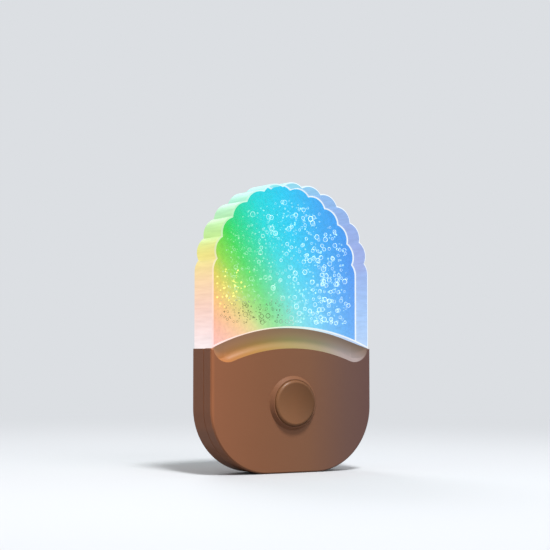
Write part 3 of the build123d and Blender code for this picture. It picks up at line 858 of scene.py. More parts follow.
def start_tree(name: str, values: Mapping[str, float]) -> tuple[Tree, Sockets]:
    """Start a geometry node tree that has one named input for each value.

    Args:
        name: The tree's name.
        values: The values by input name. A whole number gets a whole number's input.

    Returns:
        The tree, and the sockets that give its inputs inside it.
    """
    tree = bpy.data.node_groups.new(name, "GeometryNodeTree")
    for label, value in values.items():
        kind = "NodeSocketInt" if isinstance(value, int) else "NodeSocketFloat"
        tree.interface.new_socket(label, in_out="INPUT", socket_type=kind)
    tree.interface.new_socket("Geometry", in_out="OUTPUT", socket_type="NodeSocketGeometry")
    return tree, add_node(tree, "NodeGroupInput").outputs


def mesh_from_tree(name: str, tree: Tree, values: Mapping[str, float]) -> Object:
    """Run a geometry node tree and keep its result as a plain mesh object.

    Args:
        name: The new object's name.
        tree: The geometry node tree.
        values: The tree's input values by name.

    Returns:
        The finished object, at the origin.
    """
    carrier = link_object(name + "_carrier", bpy.data.meshes.new(name + "_carrier"))
    modifier = carrier.modifiers.new("build", "NODES")
    modifier.node_group = tree
    for socket in tree.interface.items_tree:
        if socket.in_out == "INPUT":
            modifier[socket.identifier] = values[socket.name]
    bpy.context.view_layer.update()
    graph = bpy.context.evaluated_depsgraph_get()
    mesh = bpy.data.meshes.new_from_object(carrier.evaluated_get(graph))
    mesh.name = name
    bpy.data.objects.remove(carrier)
    return link_object(name, mesh)


def soften(piece: Object, crease_degrees: float) -> None:
    """Shade a piece smooth, apart from edges sharper than an angle.

    Args:
        piece: The mesh object.
        crease_degrees: The angle from which an edge stays sharp.
    """
    piece.data.shade_smooth()
    piece.data.set_sharp_from_angle(angle=math.radians(crease_degrees))


def merged_copy(
    node: Object, name: str, weld_mm: float = 0.0005, flat_degrees: float = 0.5
) -> Object:
    """Copy a CAD node as a mesh whose loose triangles are joined at their corners.

    Args:
        node: The CAD node's object.
        name: The copy's name.
        weld_mm: How near two corners are that become one, in millimetres.
        flat_degrees: The angle up to which neighbouring faces become one.

    Returns:
        The copy, at the origin.
    """
    mesh = node.data.copy()
    mesh.name = name
    shape = bmesh.new()
    shape.from_mesh(mesh)
    bmesh.ops.remove_doubles(shape, verts=shape.verts, dist=weld_mm * MM)
    sides = {"verts": shape.verts, "edges": shape.edges}
    bmesh.ops.dissolve_limit(shape, angle_limit=math.radians(flat_degrees), delimit=set(), **sides)
    shape.to_mesh(mesh)
    shape.free()
    for layer in list(mesh.attributes):
        if layer.name in ("sharp_face", "custom_normal"):
            mesh.attributes.remove(layer)
    return link_object(name, mesh)


def dress(piece: Object, finish: Finish) -> None:
    """Give a piece one finish all over.

    Args:
        piece: The mesh object.
        finish: Its finish.
    """
    piece.data.materials.clear()
    piece.data.materials.append(finish.material())


def report(piece: Object) -> None:
    """Log a finished piece and how many faces it has."""
    LOG.info("%s: %d faces", piece.name, len(piece.data.polygons))


@dataclass
class Housing:
    """The two shells of the housing."""

    crease_degrees: float = 28.0

    def build(self, nodes: Mapping[str, Object]) -> None:
        """Dress both shells.

        Args:
            nodes: The CAD nodes by name.
        """
        for shell in ("front_shell", "rear_shell"):
            piece = merged_copy(nodes[shell], shell + "_moulding")
            soften(piece, self.crease_degrees)
            dress(piece, SHELL_ABS)
            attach(piece, "housing")
            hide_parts(shell)
            report(piece)


@dataclass
class PushButton:
    """The round button: a dished cap with a rounded rim, turned about its own axis."""

    rim_round: float = 0.8
    dish_depth: float = 0.6
    flange_step: float = 0.88
    flange_depth: float = 3.65
    flange_thickness: float = 0.7
    skirt_wall: float = 1.2
    face_wall: float = 1.3
    stem_radius: float = 1.9
    segments: int = 96
    arc_steps: int = 8
    crease_degrees: float = 40.0

    def profile(self) -> list[tuple[float, float]]:
        """The cap's section, from the dish to the open back.

        The rim starts on a ring of points of its own, so that the shading breaks at the dish.

        Returns:
            The section's points as (radius, stand-off from the wall), in millimetres.
        """
        low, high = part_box("mode_button")
        front = -low.y / MM
        back = -high.y / MM
        flange = (high.x - low.x) / 2 / MM
        radius = flange - self.flange_step
        dish_edge = radius - self.rim_round
        shares = [step / self.arc_steps for step in range(self.arc_steps + 1)]
        points = [(dish_edge * share, front - self.dish_depth * (1 - share**2)) for share in shares]
        for share in shares:
            turn = math.radians(90 * share)
            across = dish_edge + self.rim_round * math.sin(turn)
            points.append((across, front - self.rim_round + self.rim_round * math.cos(turn)))
        flange_front = front - self.flange_depth
        flange_back = flange_front - self.flange_thickness
        face_back = front - self.dish_depth - self.face_wall
        return points + [
            (radius, flange_front),
            (flange, flange_front),
            (flange, flange_back),
            (radius - self.skirt_wall, flange_back),
            (radius - self.skirt_wall, face_back),
            (self.stem_radius, face_back),
            (self.stem_radius, back),
            (0.0, back),
        ]

    def build(self) -> None:
        """Build the button and put it in the CAD button's place."""
        low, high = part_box("mode_button")
        height = (low.z + high.z) / 2
        turns = [2 * math.pi * number / self.segments for number in range(self.segments)]
        shape = bmesh.new()
        rings = []
        for radius, stand_off in self.profile():
            spokes = turns if radius else turns[:1]
            ring = []
            for turn in spokes:
                across, up = radius * MM * math.cos(turn), radius * MM * math.sin(turn)
                ring.append(shape.verts.new((across, -stand_off * MM, height + up)))
            rings.append(ring)
        for first, second in zip(rings, rings[1:]):
            for number in range(self.segments):
                after = (number + 1) % self.segments
                corners = [first[number % len(first)], second[number % len(second)]]
                corners += [second[after % len(second)], first[after % len(first)]]
                unique = list(dict.fromkeys(corners))
                if len(unique) > 2:
                    shape.faces.new(unique)
        bmesh.ops.recalc_face_normals(shape, faces=shape.faces)
        mesh = bpy.data.meshes.new("button_cap")
        shape.to_mesh(mesh)
        shape.free()
        piece = link_object("button_cap", mesh)
        soften(piece, self.crease_degrees)
        dress(piece, BUTTON_ABS)
        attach(piece, "button")
        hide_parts("mode_button")
        report(piece)


@dataclass(frozen=True, kw_only=True)
class BubbleField:
    """One scatter of round air bubbles inside the panel, thicker in clumps and to one side.

    The bubbles start on a sheet between the foot and the top, and each sinks a random way into
    the block, but not into its skin. The margin keeps them off the rim. The shares are how thick
    they lie at the left and the right end of the fade, and clump_from gives the levels of noise
    between which a clump fills up.
    """

    name: str
    finish: AirBubble
    smallest: float
    largest: float
    spacing: float
    density: float
    seed: int
    clump: float = 5.0
    clump_layers: float = 1.0
    clump_from: Span = (0.36, 0.62)
    sparsest: float = 0.2
    shares: Span = (0.35, 1.0)
    fade: Span = (-20.0, 6.0)
    foot: float = 21.5
    top: float = 57.0
    margin: float = 5.0
    skin: float = 2.0
    small_bias: float = 1.7
    sheet_steps: int = 70
    roundness: int = 2

    def tree(self, values: Mapping[str, float]) -> Tree:
        """Build the geometry node tree that scatters the bubbles.

        Args:
            values: The tree's input values by name.

        Returns:
            The node tree.
        """
        tree, given = start_tree(self.name, values)
        add = partial(add_node, tree)
        width = add(MATH, [given["Half Width"], 2.0], "MULTIPLY")
        height = add(MATH, [given["Top"], given["Foot"]], "SUBTRACT")
        steps = given["Steps"]
        sizes = {"Size X": width, "Size Y": height, "Vertices X": steps, "Vertices Y": steps}
        sheet = add("GeometryNodeMeshGrid", sizes)
        ends = add(MATH, [given["Top"], given["Foot"]], "ADD")
        middle = add(MATH, [ends, 0.5], "MULTIPLY")
        lift = add(COMBINE, {"Y": middle})
        placed = add(MOVE, {"Geometry": sheet, "Translation": lift})

        place = add(POSITION)
        spot = add(SPLIT, [place]).outputs
        over = add(MATH, [spot["Y"], given["Scallop Centre"]], "SUBTRACT")
        upper = add(MATH, [over, 0.0], "MAXIMUM")
        corner = add(COMBINE, {"X": spot["X"], "Y": upper})
        reach = add(VECTOR, [corner], "LENGTH").outputs["Value"]
        room = add(MATH, [given["Half Width"], given["Rim Margin"]], "SUBTRACT")
        outside = add(MATH, [reach, room], "GREATER_THAN")
        inputs = {"Geometry": placed, "Selection": outside}
        trimmed = add("GeometryNodeDeleteGeometry", inputs, domain="FACE")

        fineness = add(MATH, [1.0, given["Clump Size"]], "DIVIDE")
        inputs = {"Vector": place, "Scale": fineness, "Detail": self.clump_layers}
        clumps = add(NOISE, inputs)
        levels = (given[name] for name in ("Clump Start", "Clump Full", "Sparsest"))
        clumped = add(RANGE, [clumps, *levels])
        ends = (given[name] for name in ("Fade Start", "Fade End", "Left Share", "Right Share"))
        sided = add(RANGE, [spot["X"], *ends])
        inputs = {
            "Mesh": trimmed,
            "Distance Min": given["Spacing"],
            "Density Max": given["Density"],
            "Density Factor": add(MATH, [clumped, sided], "MULTIPLY"),
            "Seed": given["Seed"],
        }
        scatter = "GeometryNodeDistributePointsOnFaces"
        points = add(scatter, inputs, distribute_method="POISSON")
        inputs = {LEAST: given["Near"], MOST: given["Far"], "Seed": given["Seed"]}
        depth = add(RANDOM, inputs, data_type="FLOAT").outputs[DRAWN]
        inward = add(COMBINE, {"Z": depth})
        sunk = add("GeometryNodeSetPosition", {"Geometry": points, "Offset": inward})

        inputs = {LEAST: 0.0, MOST: 1.0, "Seed": add(MATH, [given["Seed"], 1.0], "ADD")}
        draw = add(RANDOM, inputs, data_type="FLOAT").outputs[DRAWN]
        mostly_small = add(MATH, [draw, given["Small Bias"]], "POWER")
        limits = given["Smallest"], given["Largest"]
        size = add(RANGE, [mostly_small, None, None, *limits])
        inputs = {"Radius": 1.0, "Subdivisions": given["Roundness"]}
        ball = add("GeometryNodeMeshIcoSphere", inputs)
        smooth = add("GeometryNodeSetShadeSmooth", {"Geometry": ball})
        inputs = {"Points": sunk, "Instance": smooth, "Scale": size}
        bubbles = add(INSTANCE, inputs)
        upright = add(MOVE, {"Geometry": bubbles, "Rotation": UPRIGHT})
        real = add(REALIZE, {"Geometry": upright})
        inputs = {"Geometry": real, "Material": self.finish.material()}
        dressed = add(MATERIAL, inputs)
        add("NodeGroupOutput", {"Geometry": dressed})
        return tree

    def build(self, scallop_centre: float) -> None:
        """Build the bubbles inside the panel's block.

        Args:
            scallop_centre: The level of the round top's centre, in millimetres.
        """
        low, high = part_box("light_panel")
        values = {
            "Half Width": (high.x - low.x) / 2,
            "Foot": self.foot * MM,
            "Top": self.top * MM,
            "Scallop Centre": scallop_centre * MM,
            "Rim Margin": self.margin * MM,
            "Near": -high.y + self.skin * MM,
            "Far": -low.y - self.skin * MM,
            "Spacing": self.spacing * MM,
            "Smallest": self.smallest * MM,
            "Largest": self.largest * MM,
            "Small Bias": self.small_bias,
            "Density": self.density / MM**2,
            "Clump Size": self.clump * MM,
            "Clump Start": self.clump_from[0],
            "Clump Full": self.clump_from[1],
            "Sparsest": self.sparsest,
            "Fade Start": self.fade[0] * MM,
            "Fade End": self.fade[1] * MM,
            "Left Share": self.shares[0],
            "Right Share": self.shares[1],
            "Steps": self.sheet_steps,
            "Roundness": self.roundness,
            "Seed": self.seed,
        }
        piece = mesh_from_tree(self.name, self.tree(values), values)
        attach(piece, "housing")
        report(piece)


AIR_BUBBLES = BubbleField(
    name="air_bubbles",
    finish=BUBBLE_WALL,
    smallest=0.34,
    largest=0.86,
    spacing=1.35,
    density=0.8,
    seed=7,
    clump_from=(0.3, 0.66),
    shares=(0.16, 1.0),
)
BUBBLE_CLUSTERS = BubbleField(
    name="bubble_clusters",
    finish=BUBBLE_WALL,
    smallest=0.45,
    largest=0.82,
    spacing=1.12,
    density=1.6,
    seed=12,
    clump=4.6,
    clump_from=(0.57, 0.62),
    sparsest=0.0,
    shares=(0.0, 1.0),
    fade=(-8.0, 8.0),
)
FINE_BUBBLES = BubbleField(
    name="fine_bubbles",
    finish=FINE_WALL,
    smallest=0.14,
    largest=0.32,
    spacing=0.5,
    density=1.3,
    seed=21,
    clump=7.0,
    sparsest=0.3,
    shares=(0.9, 0.6),
    roundness=1,
)
# Specks low at the left, painted yellow with the panel's light.
YELLOW_LIT_BUBBLES = BubbleField(
    name="yellow_lit_bubbles",
    finish=YELLOW_LIT_WALL,
    smallest=0.14,
    largest=0.34,
    spacing=0.55,
    density=1.8,
    seed=43,
    clump=3.0,
    clump_from=(0.4, 0.6),
    shares=(1.0, 0.0),
    fade=(-19.0, -12.0),
    foot=25.0,
    top=36.5,
    margin=3.5,
    roundness=1,
)
FOOT_BUBBLES = BubbleField(
    name="foot_bubbles",
    finish=BUBBLE_WALL,
    smallest=0.26,
    largest=0.5,
    spacing=0.9,
    density=0.9,
    seed=31,
    sparsest=0.4,
    shares=(1.0, 0.12),
    fade=(-4.0, 5.0),
    top=29.0,
)


@dataclass
class BubblePanel:
    """The clear panel: a scalloped block with bevelled edges, an arched front foot and bubbles.

    The block is laid out flat, with its depth along Z, and stood upright near the end.
    """

    scallops: int = 12
    scallop_depth: float = 1.0
    steps_per_scallop: int = 16
    foot_steps: int = 48
    bevel: float = 0.36
    shoulder: float = 14.0
    bubble_centre: float = 36.0
    seat: float = 16.7
    arch_radius: float = 60.28
    arch_centre: float = -40.18
    tenon_back: float = 12.4
    tenon_width: float = 43.4
    tenon_foot: float = 7.0
    weld: float = 0.002
    crease_degrees: float = 22.0
    wall_slope: float = 0.3
    bevel_slope: float = 0.95
    back_slope: float = 0.99
    fields: tuple[BubbleField, ...] = (
        AIR_BUBBLES,
        BUBBLE_CLUSTERS,
        FINE_BUBBLES,
        YELLOW_LIT_BUBBLES,
        FOOT_BUBBLES,
    )

    def top_place(self, tree: Tree, given: Sockets, point: Node, inset: Node) -> tuple[Node, Node]:
        """Build the nodes of a point on the scalloped top.

        Each scallop is an arc about a centre of its own, which lies on the spoke of its peak.

        Args:
            tree: The block's node tree.
            given: The sockets that give the tree's inputs.
            point: The point's number, from the right end of the top to its left end.
            inset: How far it lies inside the full outline.

        Returns:
            The nodes of its place across and up.
        """
        add = partial(add_node, tree)
        pitch = add(MATH, [math.pi, given["Scallops"]], "DIVIDE")
        stride = add(MATH, [pitch, given["Steps"]], "DIVIDE")
        turn = add(MATH, [point, stride], "MULTIPLY")
        nearest = add(MATH, [turn, pitch], "DIVIDE")
        peak = add(MATH, [nearest], "ROUND")
        peak_turn = add(MATH, [peak, pitch], "MULTIPLY")
        off_peak = add(MATH, [turn, peak_turn], "SUBTRACT")
        off_cos = add(MATH, [off_peak], "COSINE")
        off_sin = add(MATH, [off_peak], "SINE")
        reach = add(MATH, [off_cos, given["Arc Centre"]], "MULTIPLY")
        aside = add(MATH, [off_sin, given["Arc Centre"]], "MULTIPLY")
        arc = add(MATH, [given["Arc Radius"], inset], "SUBTRACT")
        arc_square = add(MATH, [arc, 2.0], "POWER")
        aside_square = add(MATH, [aside, aside], "MULTIPLY")
        left_over = add(MATH, [arc_square, aside_square], "SUBTRACT")
        bulge = add(MATH, [left_over], "SQRT")
        radius = add(MATH, [reach, bulge], "ADD")
        turn_cos = add(MATH, [turn], "COSINE")
        turn_sin = add(MATH, [turn], "SINE")
        across = add(MATH, [radius, turn_cos], "MULTIPLY")
        terms = [radius, turn_sin, given["Scallop Centre"]]
        return across, add(MATH, terms, "MULTIPLY_ADD")

    def foot_place(
        self, tree: Tree, given: Sockets, point: Node, inset: Node, in_front: Node
    ) -> tuple[Node, Node]:
        """Build the nodes of a point on the foot, which is arched in front and straight behind.

        Args:
            tree: The block's node tree.
            given: The sockets that give the tree's inputs.
            point: The point's number, from the left end of the foot to its right end.
            inset: How far it lies inside the full outline.
            in_front: Whether it lies in front of the seat, as 0 or 1.

        Returns:
            The nodes of its place across and up.
        """
        add = partial(add_node, tree)
        share = add(MATH, [point, given["Foot Steps"]], "DIVIDE")
        way = add(RANGE, [share, None, None, -1.0, 1.0], clamp=False)
        half = add(MATH, [given["Half Width"], inset], "SUBTRACT")
        across = add(MATH, [way, half], "MULTIPLY")
        arch_square = add(MATH, [given["Arch Radius"], 2.0], "POWER")
        across_square = add(MATH, [across, across], "MULTIPLY")
        left_over = add(MATH, [arch_square, across_square], "SUBTRACT")
        rise = add(MATH, [left_over], "SQRT")
        arch = add(MATH, [rise, given["Arch Centre"]], "ADD")
        arch_inset = add(MATH, [arch, inset], "ADD")
        levels = {"Factor": in_front, "A": given["Shoulder"], "B": arch_inset}
        return across, add(MIX, levels, data_type="FLOAT")

    def block(self, tree: Tree, given: Sockets) -> Node:
        """Build the nodes of the block above the tenon.

        The block is a strip of quads round its outline, with a cap at its back and its front.
        Each column of the strip is one depth, and each row is one point of the outline, so
        arithmetic on the index gives every place. The top and the foot each have one point more
        than steps, and a last row lies on the first.

        Args:
            tree: The block's node tree.
            given: The sockets that give the tree's inputs.

        Returns:
            The node that gives the closed block.
        """
        add = partial(add_node, tree)
        back, seat, front, bevel = (given[key] for key in ("Back", "Seat", "Front", "Bevel"))
        back_bevel = add(MATH, [back, bevel], "ADD")
        front_bevel = add(MATH, [front, bevel], "SUBTRACT")
        depths = [back, back_bevel, seat, seat, front_bevel, front]
        insets = [bevel, 0.0, 0.0, 0.0, 0.0, bevel]
        last_column = len(depths) - 1
        top_steps = add(MATH, [given["Scallops"], given["Steps"]], "MULTIPLY")
        all_steps = add(MATH, [top_steps, given["Foot Steps"]], "ADD")
        points = add(MATH, [all_steps, 2.0], "ADD")
        rows = add(MATH, [points, 1.0], "ADD")
        sizes = {"Vertices X": len(depths), "Vertices Y": rows, "Size X": 1.0, "Size Y": 1.0}
        grid = add("GeometryNodeMeshGrid", sizes)
        index = add("GeometryNodeInputIndex")
        portion = add(MATH, [index, rows], "DIVIDE")
        column = add(MATH, [portion], "FLOOR")
        row = add(MATH, [index, rows], "MODULO")
        point = add(MATH, [row, points], "MODULO")
        switches = []
        for choices in (depths, insets):
            switch = add("GeometryNodeIndexSwitch", data_type="FLOAT")
            while len(switch.index_switch_items) < len(choices):
                switch.index_switch_items.new()
            fill(tree, switch, [column, *choices])
            switches.append(switch)
        depth, inset = switches

        top_point = add(MATH, [point, top_steps], "MINIMUM")
        top_x, top_z = self.top_place(tree, given, top_point, inset)
        past_top = add(MATH, [point, top_steps], "SUBTRACT")
        foot_point = add(MATH, [past_top, 1.0], "SUBTRACT")
        in_front = add(MATH, [column, last_column / 2], "GREATER_THAN")
        foot_x, foot_z = self.foot_place(tree, given, foot_point, inset, in_front)
        at_foot = add(MATH, [point, top_steps], "GREATER_THAN")
        place_x = add(MIX, {"Factor": at_foot, "A": top_x, "B": foot_x})
        place_z = add(MIX, {"Factor": at_foot, "A": top_z, "B": foot_z})
        place = add(COMBINE, {"X": place_x, "Y": place_z, "Z": depth})
        strip = add("GeometryNodeSetPosition", {"Geometry": grid, "Position": place})

        parts = [strip]
        for number, level in ((0, back), (last_column, front)):
            inputs = {"A": column, "B": float(number)}
            ring = add("FunctionNodeCompare", inputs, "EQUAL", data_type="FLOAT")
            line = add("GeometryNodeMeshToCurve", {"Mesh": strip, "Selection": ring})
            closed = add("GeometryNodeSetSplineCyclic", {"Geometry": line, "Cyclic": True})
            cap = add("GeometryNodeFillCurve", {"Curve": closed}, mode="NGONS")
            lift = add(COMBINE, {"Z": level})
            lifted = add(MOVE, {"Geometry": cap, "Translation": lift})
            if number == 0:
                lifted = add("GeometryNodeFlipFaces", {"Mesh": lifted})
            parts.append(lifted)
        shell = add("GeometryNodeJoinGeometry", [parts])
        inputs = {"Geometry": shell, "Distance": self.weld * MM}
        return add("GeometryNodeMergeByDistance", inputs)

    def tenon(self, tree: Tree, given: Sockets) -> Node:
        """Build the nodes of the tenon that stands in the housing.

        Args:
            tree: The block's node tree.
            given: The sockets that give the tree's inputs.

        Returns:
            The node that gives the tenon, which overlaps the block by the bevel.
        """
        add = partial(add_node, tree)
        overlap = add(MATH, [given["Shoulder"], given["Bevel"]], "ADD")
        left = add(MATH, [given["Tenon Reach"], -1.0], "MULTIPLY")
        low = add(COMBINE, [left, given["Tenon Foot"], given["Tenon Back"]])
        high = add(COMBINE, [given["Tenon Reach"], overlap, given["Seat"]])
        size = add(VECTOR, [high, low], "SUBTRACT")
        both = add(VECTOR, [high, low], "ADD")
        centre = add(VECTOR, {"Vector": both, "Scale": 0.5}, "SCALE")
        cube = add("GeometryNodeMeshCube", {"Size": size})
        return add(MOVE, {"Geometry": cube, "Translation": centre})

    def tree(self, values: Mapping[str, float]) -> Tree:
        """Build the geometry node tree of the dressed block and its tenon.

        How far a face leans to the front or the back tells its walls, bevels and back apart.

        Args:
            values: The tree's input values by name.

        Returns:
            The node tree.
        """
        tree, given = start_tree("scalloped_block", values)
        add = partial(add_node, tree)
        parts = [self.block(tree, given), self.tenon(tree, given)]
        whole = add(BOOLEAN, {"Mesh 2": parts}, "UNION", solver="EXACT")
        upright = add(MOVE, {"Geometry": whole, "Rotation": UPRIGHT})
        real = add(REALIZE, {"Geometry": upright})

        normal = add(SPLIT, [add("GeometryNodeInputNormal")]).outputs
        spot = add(SPLIT, [add(POSITION)]).outputs
        slope = add(MATH, [normal["Y"]], "ABSOLUTE")
        foot = add(MATH, [given["Shoulder"], NUDGE_MM * MM], "ADD")
        above = add(MATH, [spot["Z"], foot], "GREATER_THAN")
        wall = add(MATH, [slope, self.wall_slope], "LESS_THAN")
        leaning = add(MATH, [slope, self.wall_slope], "GREATER_THAN")
        slanted = add(MATH, [slope, self.bevel_slope], "LESS_THAN")
        to_back = add(MATH, [normal["Y"], self.back_slope], "GREATER_THAN")
        depth = add(MATH, [spot["Y"], -1.0], "MULTIPLY")
        back_end = add(MATH, [given["Back"], given["Bevel"]], "ADD")
        rearmost = add(MATH, [depth, back_end], "LESS_THAN")
        dressed = add(MATERIAL, {"Geometry": real, "Material": PANEL_FACE.material()})
        for first, second, finish in (
            (wall, above, PANEL_SIDE),
            (to_back, rearmost, PANEL_BACK),
            (slanted, leaning, PANEL_BEVEL),
        ):
            both = add(MATH, [first, second], "MULTIPLY")
            inputs = {"Geometry": dressed, "Selection": both, "Material": finish.material()}
            dressed = add(MATERIAL, inputs)
        add("NodeGroupOutput", {"Geometry": dressed})
        return tree

    def build(self) -> None:
        """Build the block in the CAD panel's place, and the bubbles inside it."""
        low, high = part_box("light_panel")
        half_width = (high.x - low.x) / 2
        peak = half_width
        valley = half_width - self.scallop_depth * MM
        half_pitch = math.pi / self.scallops / 2
        arc_centre = (peak**2 - valley**2) / (2 * (peak - valley * math.cos(half_pitch)))
        values = {
            "Half Width": half_width,
            "Bevel": self.bevel * MM,
            "Back": -high.y,
            "Seat": self.seat * MM,
            "Front": -low.y,
            "Shoulder": self.shoulder * MM,
            "Scallop Centre": high.z - half_width,
            "Arc Centre": arc_centre,
            "Arc Radius": peak - arc_centre,
            "Arch Radius": self.arch_radius * MM,
            "Arch Centre": self.arch_centre * MM,
            "Tenon Reach": self.tenon_width * MM / 2,
            "Tenon Back": self.tenon_back * MM,
            "Tenon Foot": self.tenon_foot * MM,
            "Scallops": self.scallops,
            "Steps": self.steps_per_scallop,
            "Foot Steps": self.foot_steps,
        }
        piece = mesh_from_tree("bubble_panel", self.tree(values), values)
        soften(piece, self.crease_degrees)
        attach(piece, "housing")
        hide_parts("light_panel")
        report(piece)
        for field in self.fields:
            field.build(self.bubble_centre)


@dataclass
class CaseScrews:
    """The two cross-recessed screws sunk in the housing's back.

    The recess lies within recess_reach of a screw's axis, as a share of the recess's width.
    """

    head_height: float = 1.5
    shank_radius: float = 1.1
    recess_width: float = 2.2
    recess_slot: float = 0.55
    recess_depth: float = 0.9
    recess_reach: float = 0.55
    sides: int = 32
    crease_degrees: float = 30.0

    def screw(self, tree: Tree, given: Sockets) -> Node:
        """Build the nodes of one screw, with its head's end at the origin.

        Args:
            tree: The screws' node tree.
            given: The sockets that give the tree's inputs.

        Returns:
            The node that gives the screw.
        """
        add = partial(add_node, tree)
        rods = []
        for radius, length in (("Head Radius", "Head Height"), ("Shank Radius", "Length")):
            sizes = {"Vertices": given["Sides"], "Radius": given[radius], "Depth": given[length]}
            rod = add("GeometryNodeMeshCylinder", sizes)
            half = add(MATH, [given[length], 0.5], "MULTIPLY")
            lift = add(COMBINE, {"Z": half})
            rods.append(add(MOVE, {"Geometry": rod, "Translation": lift}))
        blank = add(BOOLEAN, {"Mesh 2": rods}, "UNION", solver="EXACT")
        deep = add(MATH, [given["Recess Depth"], 2.0], "MULTIPLY")
        wide, narrow = given["Recess Width"], given["Recess Slot"]
        blades = []
        for across, up in ((wide, narrow), (narrow, wide)):
            size = add(COMBINE, [across, up, deep])
            blades.append(add("GeometryNodeMeshCube", {"Size": size}))
        inputs = {"Mesh 1": blank, "Mesh 2": blades}
        cut = add(BOOLEAN, inputs, "DIFFERENCE", solver="EXACT")
        return add(MOVE, {"Geometry": cut, "Rotation": UPRIGHT})

    def tree(self, values: Mapping[str, float]) -> Tree:
        """Build the geometry node tree that sets one screw at each end of a span.

        Args:
            values: The tree's input values by name.

        Returns:
            The node tree.
        """
        tree, given = start_tree("cross_recess_screws", values)
        add = partial(add_node, tree)
        left = add(MATH, [given["Span"], -0.5], "MULTIPLY")
        start = add(COMBINE, [left, given["Head End"], given["Level"]])
        stride = add(COMBINE, {"X": given["Span"]})
        inputs = {"Count": 2, "Start Location": start, "Offset": stride}
        line = add("GeometryNodeMeshLine", inputs)
        pair = add(INSTANCE, {"Points": line, "Instance": self.screw(tree, given)})
        real = add(REALIZE, {"Geometry": pair})

        spot = add(SPLIT, [add(POSITION)]).outputs
        aside = add(MATH, [spot["X"]], "ABSOLUTE")
        across = add(MATH, [aside, left], "ADD")
        up = add(MATH, [spot["Z"], given["Level"]], "SUBTRACT")
        flat = add(COMBINE, [across, up])
        away = add(VECTOR, [flat], "LENGTH").outputs["Value"]
        corner = add(MATH, [given["Recess Width"], self.recess_reach], "MULTIPLY")
        near_axis = add(MATH, [away, corner], "LESS_THAN")
        depth = add(MATH, [given["Head End"], spot["Y"]], "SUBTRACT")
        floor = add(MATH, [given["Recess Depth"], NUDGE_MM * MM], "ADD")
        in_head = add(MATH, [depth, floor], "LESS_THAN")
        sunk = add(MATH, [depth, NUDGE_MM * MM], "GREATER_THAN")
        hollow = add(MATH, [near_axis, in_head], "MULTIPLY")
        hollow = add(MATH, [hollow, sunk], "MULTIPLY")
        # The recesses get a dark zinc: painted shade inside them.
        plated = add(MATERIAL, {"Geometry": real, "Material": ZINC.material()})
        inputs = {"Geometry": plated, "Selection": hollow, "Material": RECESS_SHADE.material()}
        shaded_recess = add(MATERIAL, inputs)
        add("NodeGroupOutput", {"Geometry": shaded_recess})
        return tree

    def build(self) -> None:
        """Build the screws in the CAD screws' place."""
        low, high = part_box("case_screws")
        head = (high.z - low.z) / 2
        values = {
            "Head Radius": head,
            "Head Height": self.head_height * MM,
            "Shank Radius": self.shank_radius * MM,
            "Length": high.y - low.y,
            "Span": high.x - low.x - 2 * head,
            "Level": (high.z + low.z) / 2,
            "Head End": high.y,
            "Recess Width": self.recess_width * MM,
            "Recess Slot": self.recess_slot * MM,
            "Recess Depth": self.recess_depth * MM,
            "Sides": self.sides,
        }
        piece = mesh_from_tree("cross_recess_screws", self.tree(values), values)
        soften(piece, self.crease_degrees)
        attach(piece, "housing")
        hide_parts("case_screws")
        report(piece)


@dataclass
class Insides:
    """The plug, boards and parts inside, which keep their CAD shapes."""

    def build(self, nodes: Mapping[str, Object]) -> None:
        """Dress every inner piece.

        Args:
            nodes: The CAD nodes by name.
        """
        for name, finish in INNER_FINISHES.items():
            dress(nodes[name], finish)
            LOG.info("%s: %s", name, finish.name)


@dataclass(frozen=True)
class SoftLight:
    """One round soft box of the studio, with its place and width in metres."""

    name: str
    place: tuple[float, float, float]
    size: float
    power: float

    def build(self, aim: Vector) -> None:
        """Build the light, aimed at a point.

        Args:
            aim: The point it shines at, in metres.
        """
        lamp = bpy.data.lights.new(self.name, "AREA")
        lamp.shape = "DISK"
        lamp.size = self.size
        lamp.energy = self.power
        holder = link_object(self.name, lamp)
        holder.location = self.place
        holder.rotation_euler = (aim - Vector(self.place)).to_track_quat("-Z", "Y").to_euler()


@dataclass(frozen=True)
class FloorPaint(Finish):
    """Matt pale floor paint, which turns to the backdrop's even light away from the lamp.

    The camera sees the pale paint. The light that the floor throws back at the lamp is that of a
    darker paint, because the lamp in the photo stands before a wall and on no floor.
    """

    name: str
    backdrop: str
    bounce: str
    ambient: float
    fade_metres: Span = (0.09, 0.42)
    roughness: float = 0.7
    gloss: float = 0.2

    def shade(self, tree: Tree) -> Node:
        """Build the floor paint's shader.

        Args:
            tree: The material's node tree.

        Returns:
            The shader node.
        """
        add = partial(add_node, tree)
        place = add(PLACE).outputs["Object"]
        distance = add(VECTOR, [place], "LENGTH").outputs["Value"]
        inputs = [distance, *self.fade_metres]
        fade = add(RANGE, inputs, interpolation_type="SMOOTHSTEP")
        seen = add("ShaderNodeLightPath").outputs["Is Camera Ray"]
        colours = {SHARE: seen, FIRST: linear(self.bounce), SECOND: linear(self.backdrop)}
        paint = add(MIX, colours, data_type="RGBA").outputs[MIXED]
        rough, gloss = self.roughness, self.gloss
        inputs = {"Base Color": paint, "Roughness": rough, "Specular IOR Level": gloss}
        matt = add(SHADER, inputs)
        level = add(RANGE, {"Value": seen, "To Min": self.ambient, "To Max": 1.0})
        inputs = {"Color": linear(self.backdrop), "Strength": level}
        even = add("ShaderNodeEmission", inputs)
        return add("ShaderNodeMixShader", [fade, matt, even])


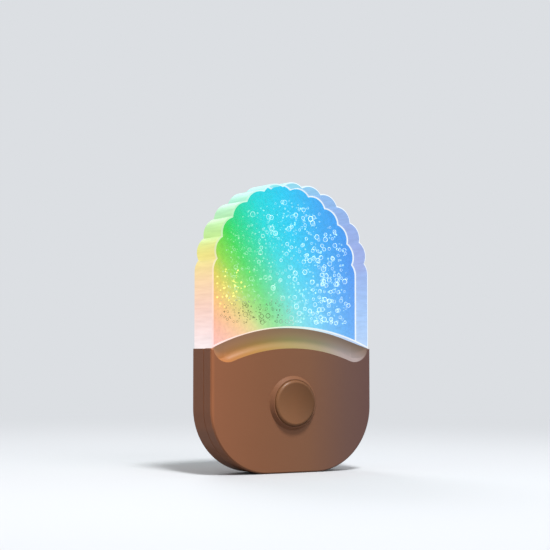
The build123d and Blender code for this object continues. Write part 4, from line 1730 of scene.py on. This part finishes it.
@dataclass
class Studio:
    """A pale floor, soft lights and the photograph's camera.

    The camera's place and the floor's gap are in millimetres, and the rest is in metres, with
    angles in radians.
    """

    backdrop: str = "#dcdfe3"
    floor_bounce: str = "#909296"
    ambient: float = 0.28
    camera_place: tuple[float, float, float] = (-224.889, -394.082, 11.674)
    camera_turn: float = 0.5308
    camera_tilt: float = 0.0541
    focal_length: float = 98.9
    sensor_width: float = 36.0
    nearest_seen: float = 0.01
    floor_gap: float = 0.1
    floor_reach: float = 3.0
    floor_sides: int = 64
    lights: tuple[SoftLight, ...] = (
        SoftLight("key_light", place=(-0.05, -0.42, 0.74), size=0.16, power=6.1),
        SoftLight("fill_light", place=(0.05, -0.70, 0.48), size=0.45, power=1.3),
        SoftLight("back_light", place=(0.10, 0.60, 0.45), size=0.40, power=1.5),
    )

    def build(self) -> None:
        """Build the camera, world, floor and lights."""
        self.build_camera()
        self.build_world()
        self.build_floor()
        low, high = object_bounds()
        for light in self.lights:
            light.build((Vector(low) + Vector(high)) / 2)

    def build_camera(self) -> None:
        """Build the camera that takes the photograph's view."""
        camera = bpy.data.cameras.new("camera")
        camera.lens = self.focal_length
        camera.sensor_width = self.sensor_width
        camera.clip_start = self.nearest_seen
        holder = link_object("camera", camera)
        holder.location = Vector(self.camera_place) * MM
        holder.rotation_euler = (math.radians(90) + self.camera_tilt, 0.0, -self.camera_turn)
        bpy.context.scene.camera = holder

    def build_world(self) -> None:
        """Build the world: a pale backdrop for the camera, and even light for everything else."""
        world = bpy.data.worlds.new("studio")
        world.use_nodes = True
        tree = world.node_tree
        tree.nodes.clear()
        add = partial(add_node, tree)
        path = add("ShaderNodeLightPath").outputs
        seen = add(MATH, [path["Is Camera Ray"], path["Is Glossy Ray"]], "MAXIMUM")
        shown = add(MATH, [seen, path["Is Transmission Ray"]], "MAXIMUM")
        lit = {"Color": linear("#ffffff"), "Strength": self.ambient}
        even = add("ShaderNodeBackground", lit)
        pale = {"Color": linear(self.backdrop), "Strength": 1.0}
        plain = add("ShaderNodeBackground", pale)
        both = add("ShaderNodeMixShader", [shown, even, plain])
        add("ShaderNodeOutputWorld", {"Surface": both})
        bpy.context.scene.world = world

    def build_floor(self) -> None:
        """Build the floor just under the lamp's lowest point."""
        low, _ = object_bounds()
        shape = bmesh.new()
        bmesh.ops.create_circle(
            shape, cap_ends=True, segments=self.floor_sides, radius=self.floor_reach
        )
        bmesh.ops.translate(shape, verts=shape.verts, vec=(0, 0, low[2] - self.floor_gap * MM))
        mesh = bpy.data.meshes.new("floor")
        shape.to_mesh(mesh)
        shape.free()
        floor = link_object("floor", mesh)
        dress(floor, FloorPaint("pale_floor_paint", self.backdrop, self.floor_bounce, self.ambient))
        floor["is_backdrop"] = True


def main() -> None:
    logging.basicConfig(level=logging.INFO, format="%(name)s: %(message)s")
    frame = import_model()
    bpy.context.scene.view_settings.view_transform = "Standard"
    Studio().build()
    Housing().build(frame["nodes"])
    PushButton().build()
    BubblePanel().build()
    CaseScrews().build()
    Insides().build(frame["nodes"])


if __name__ == "__main__":
    main()
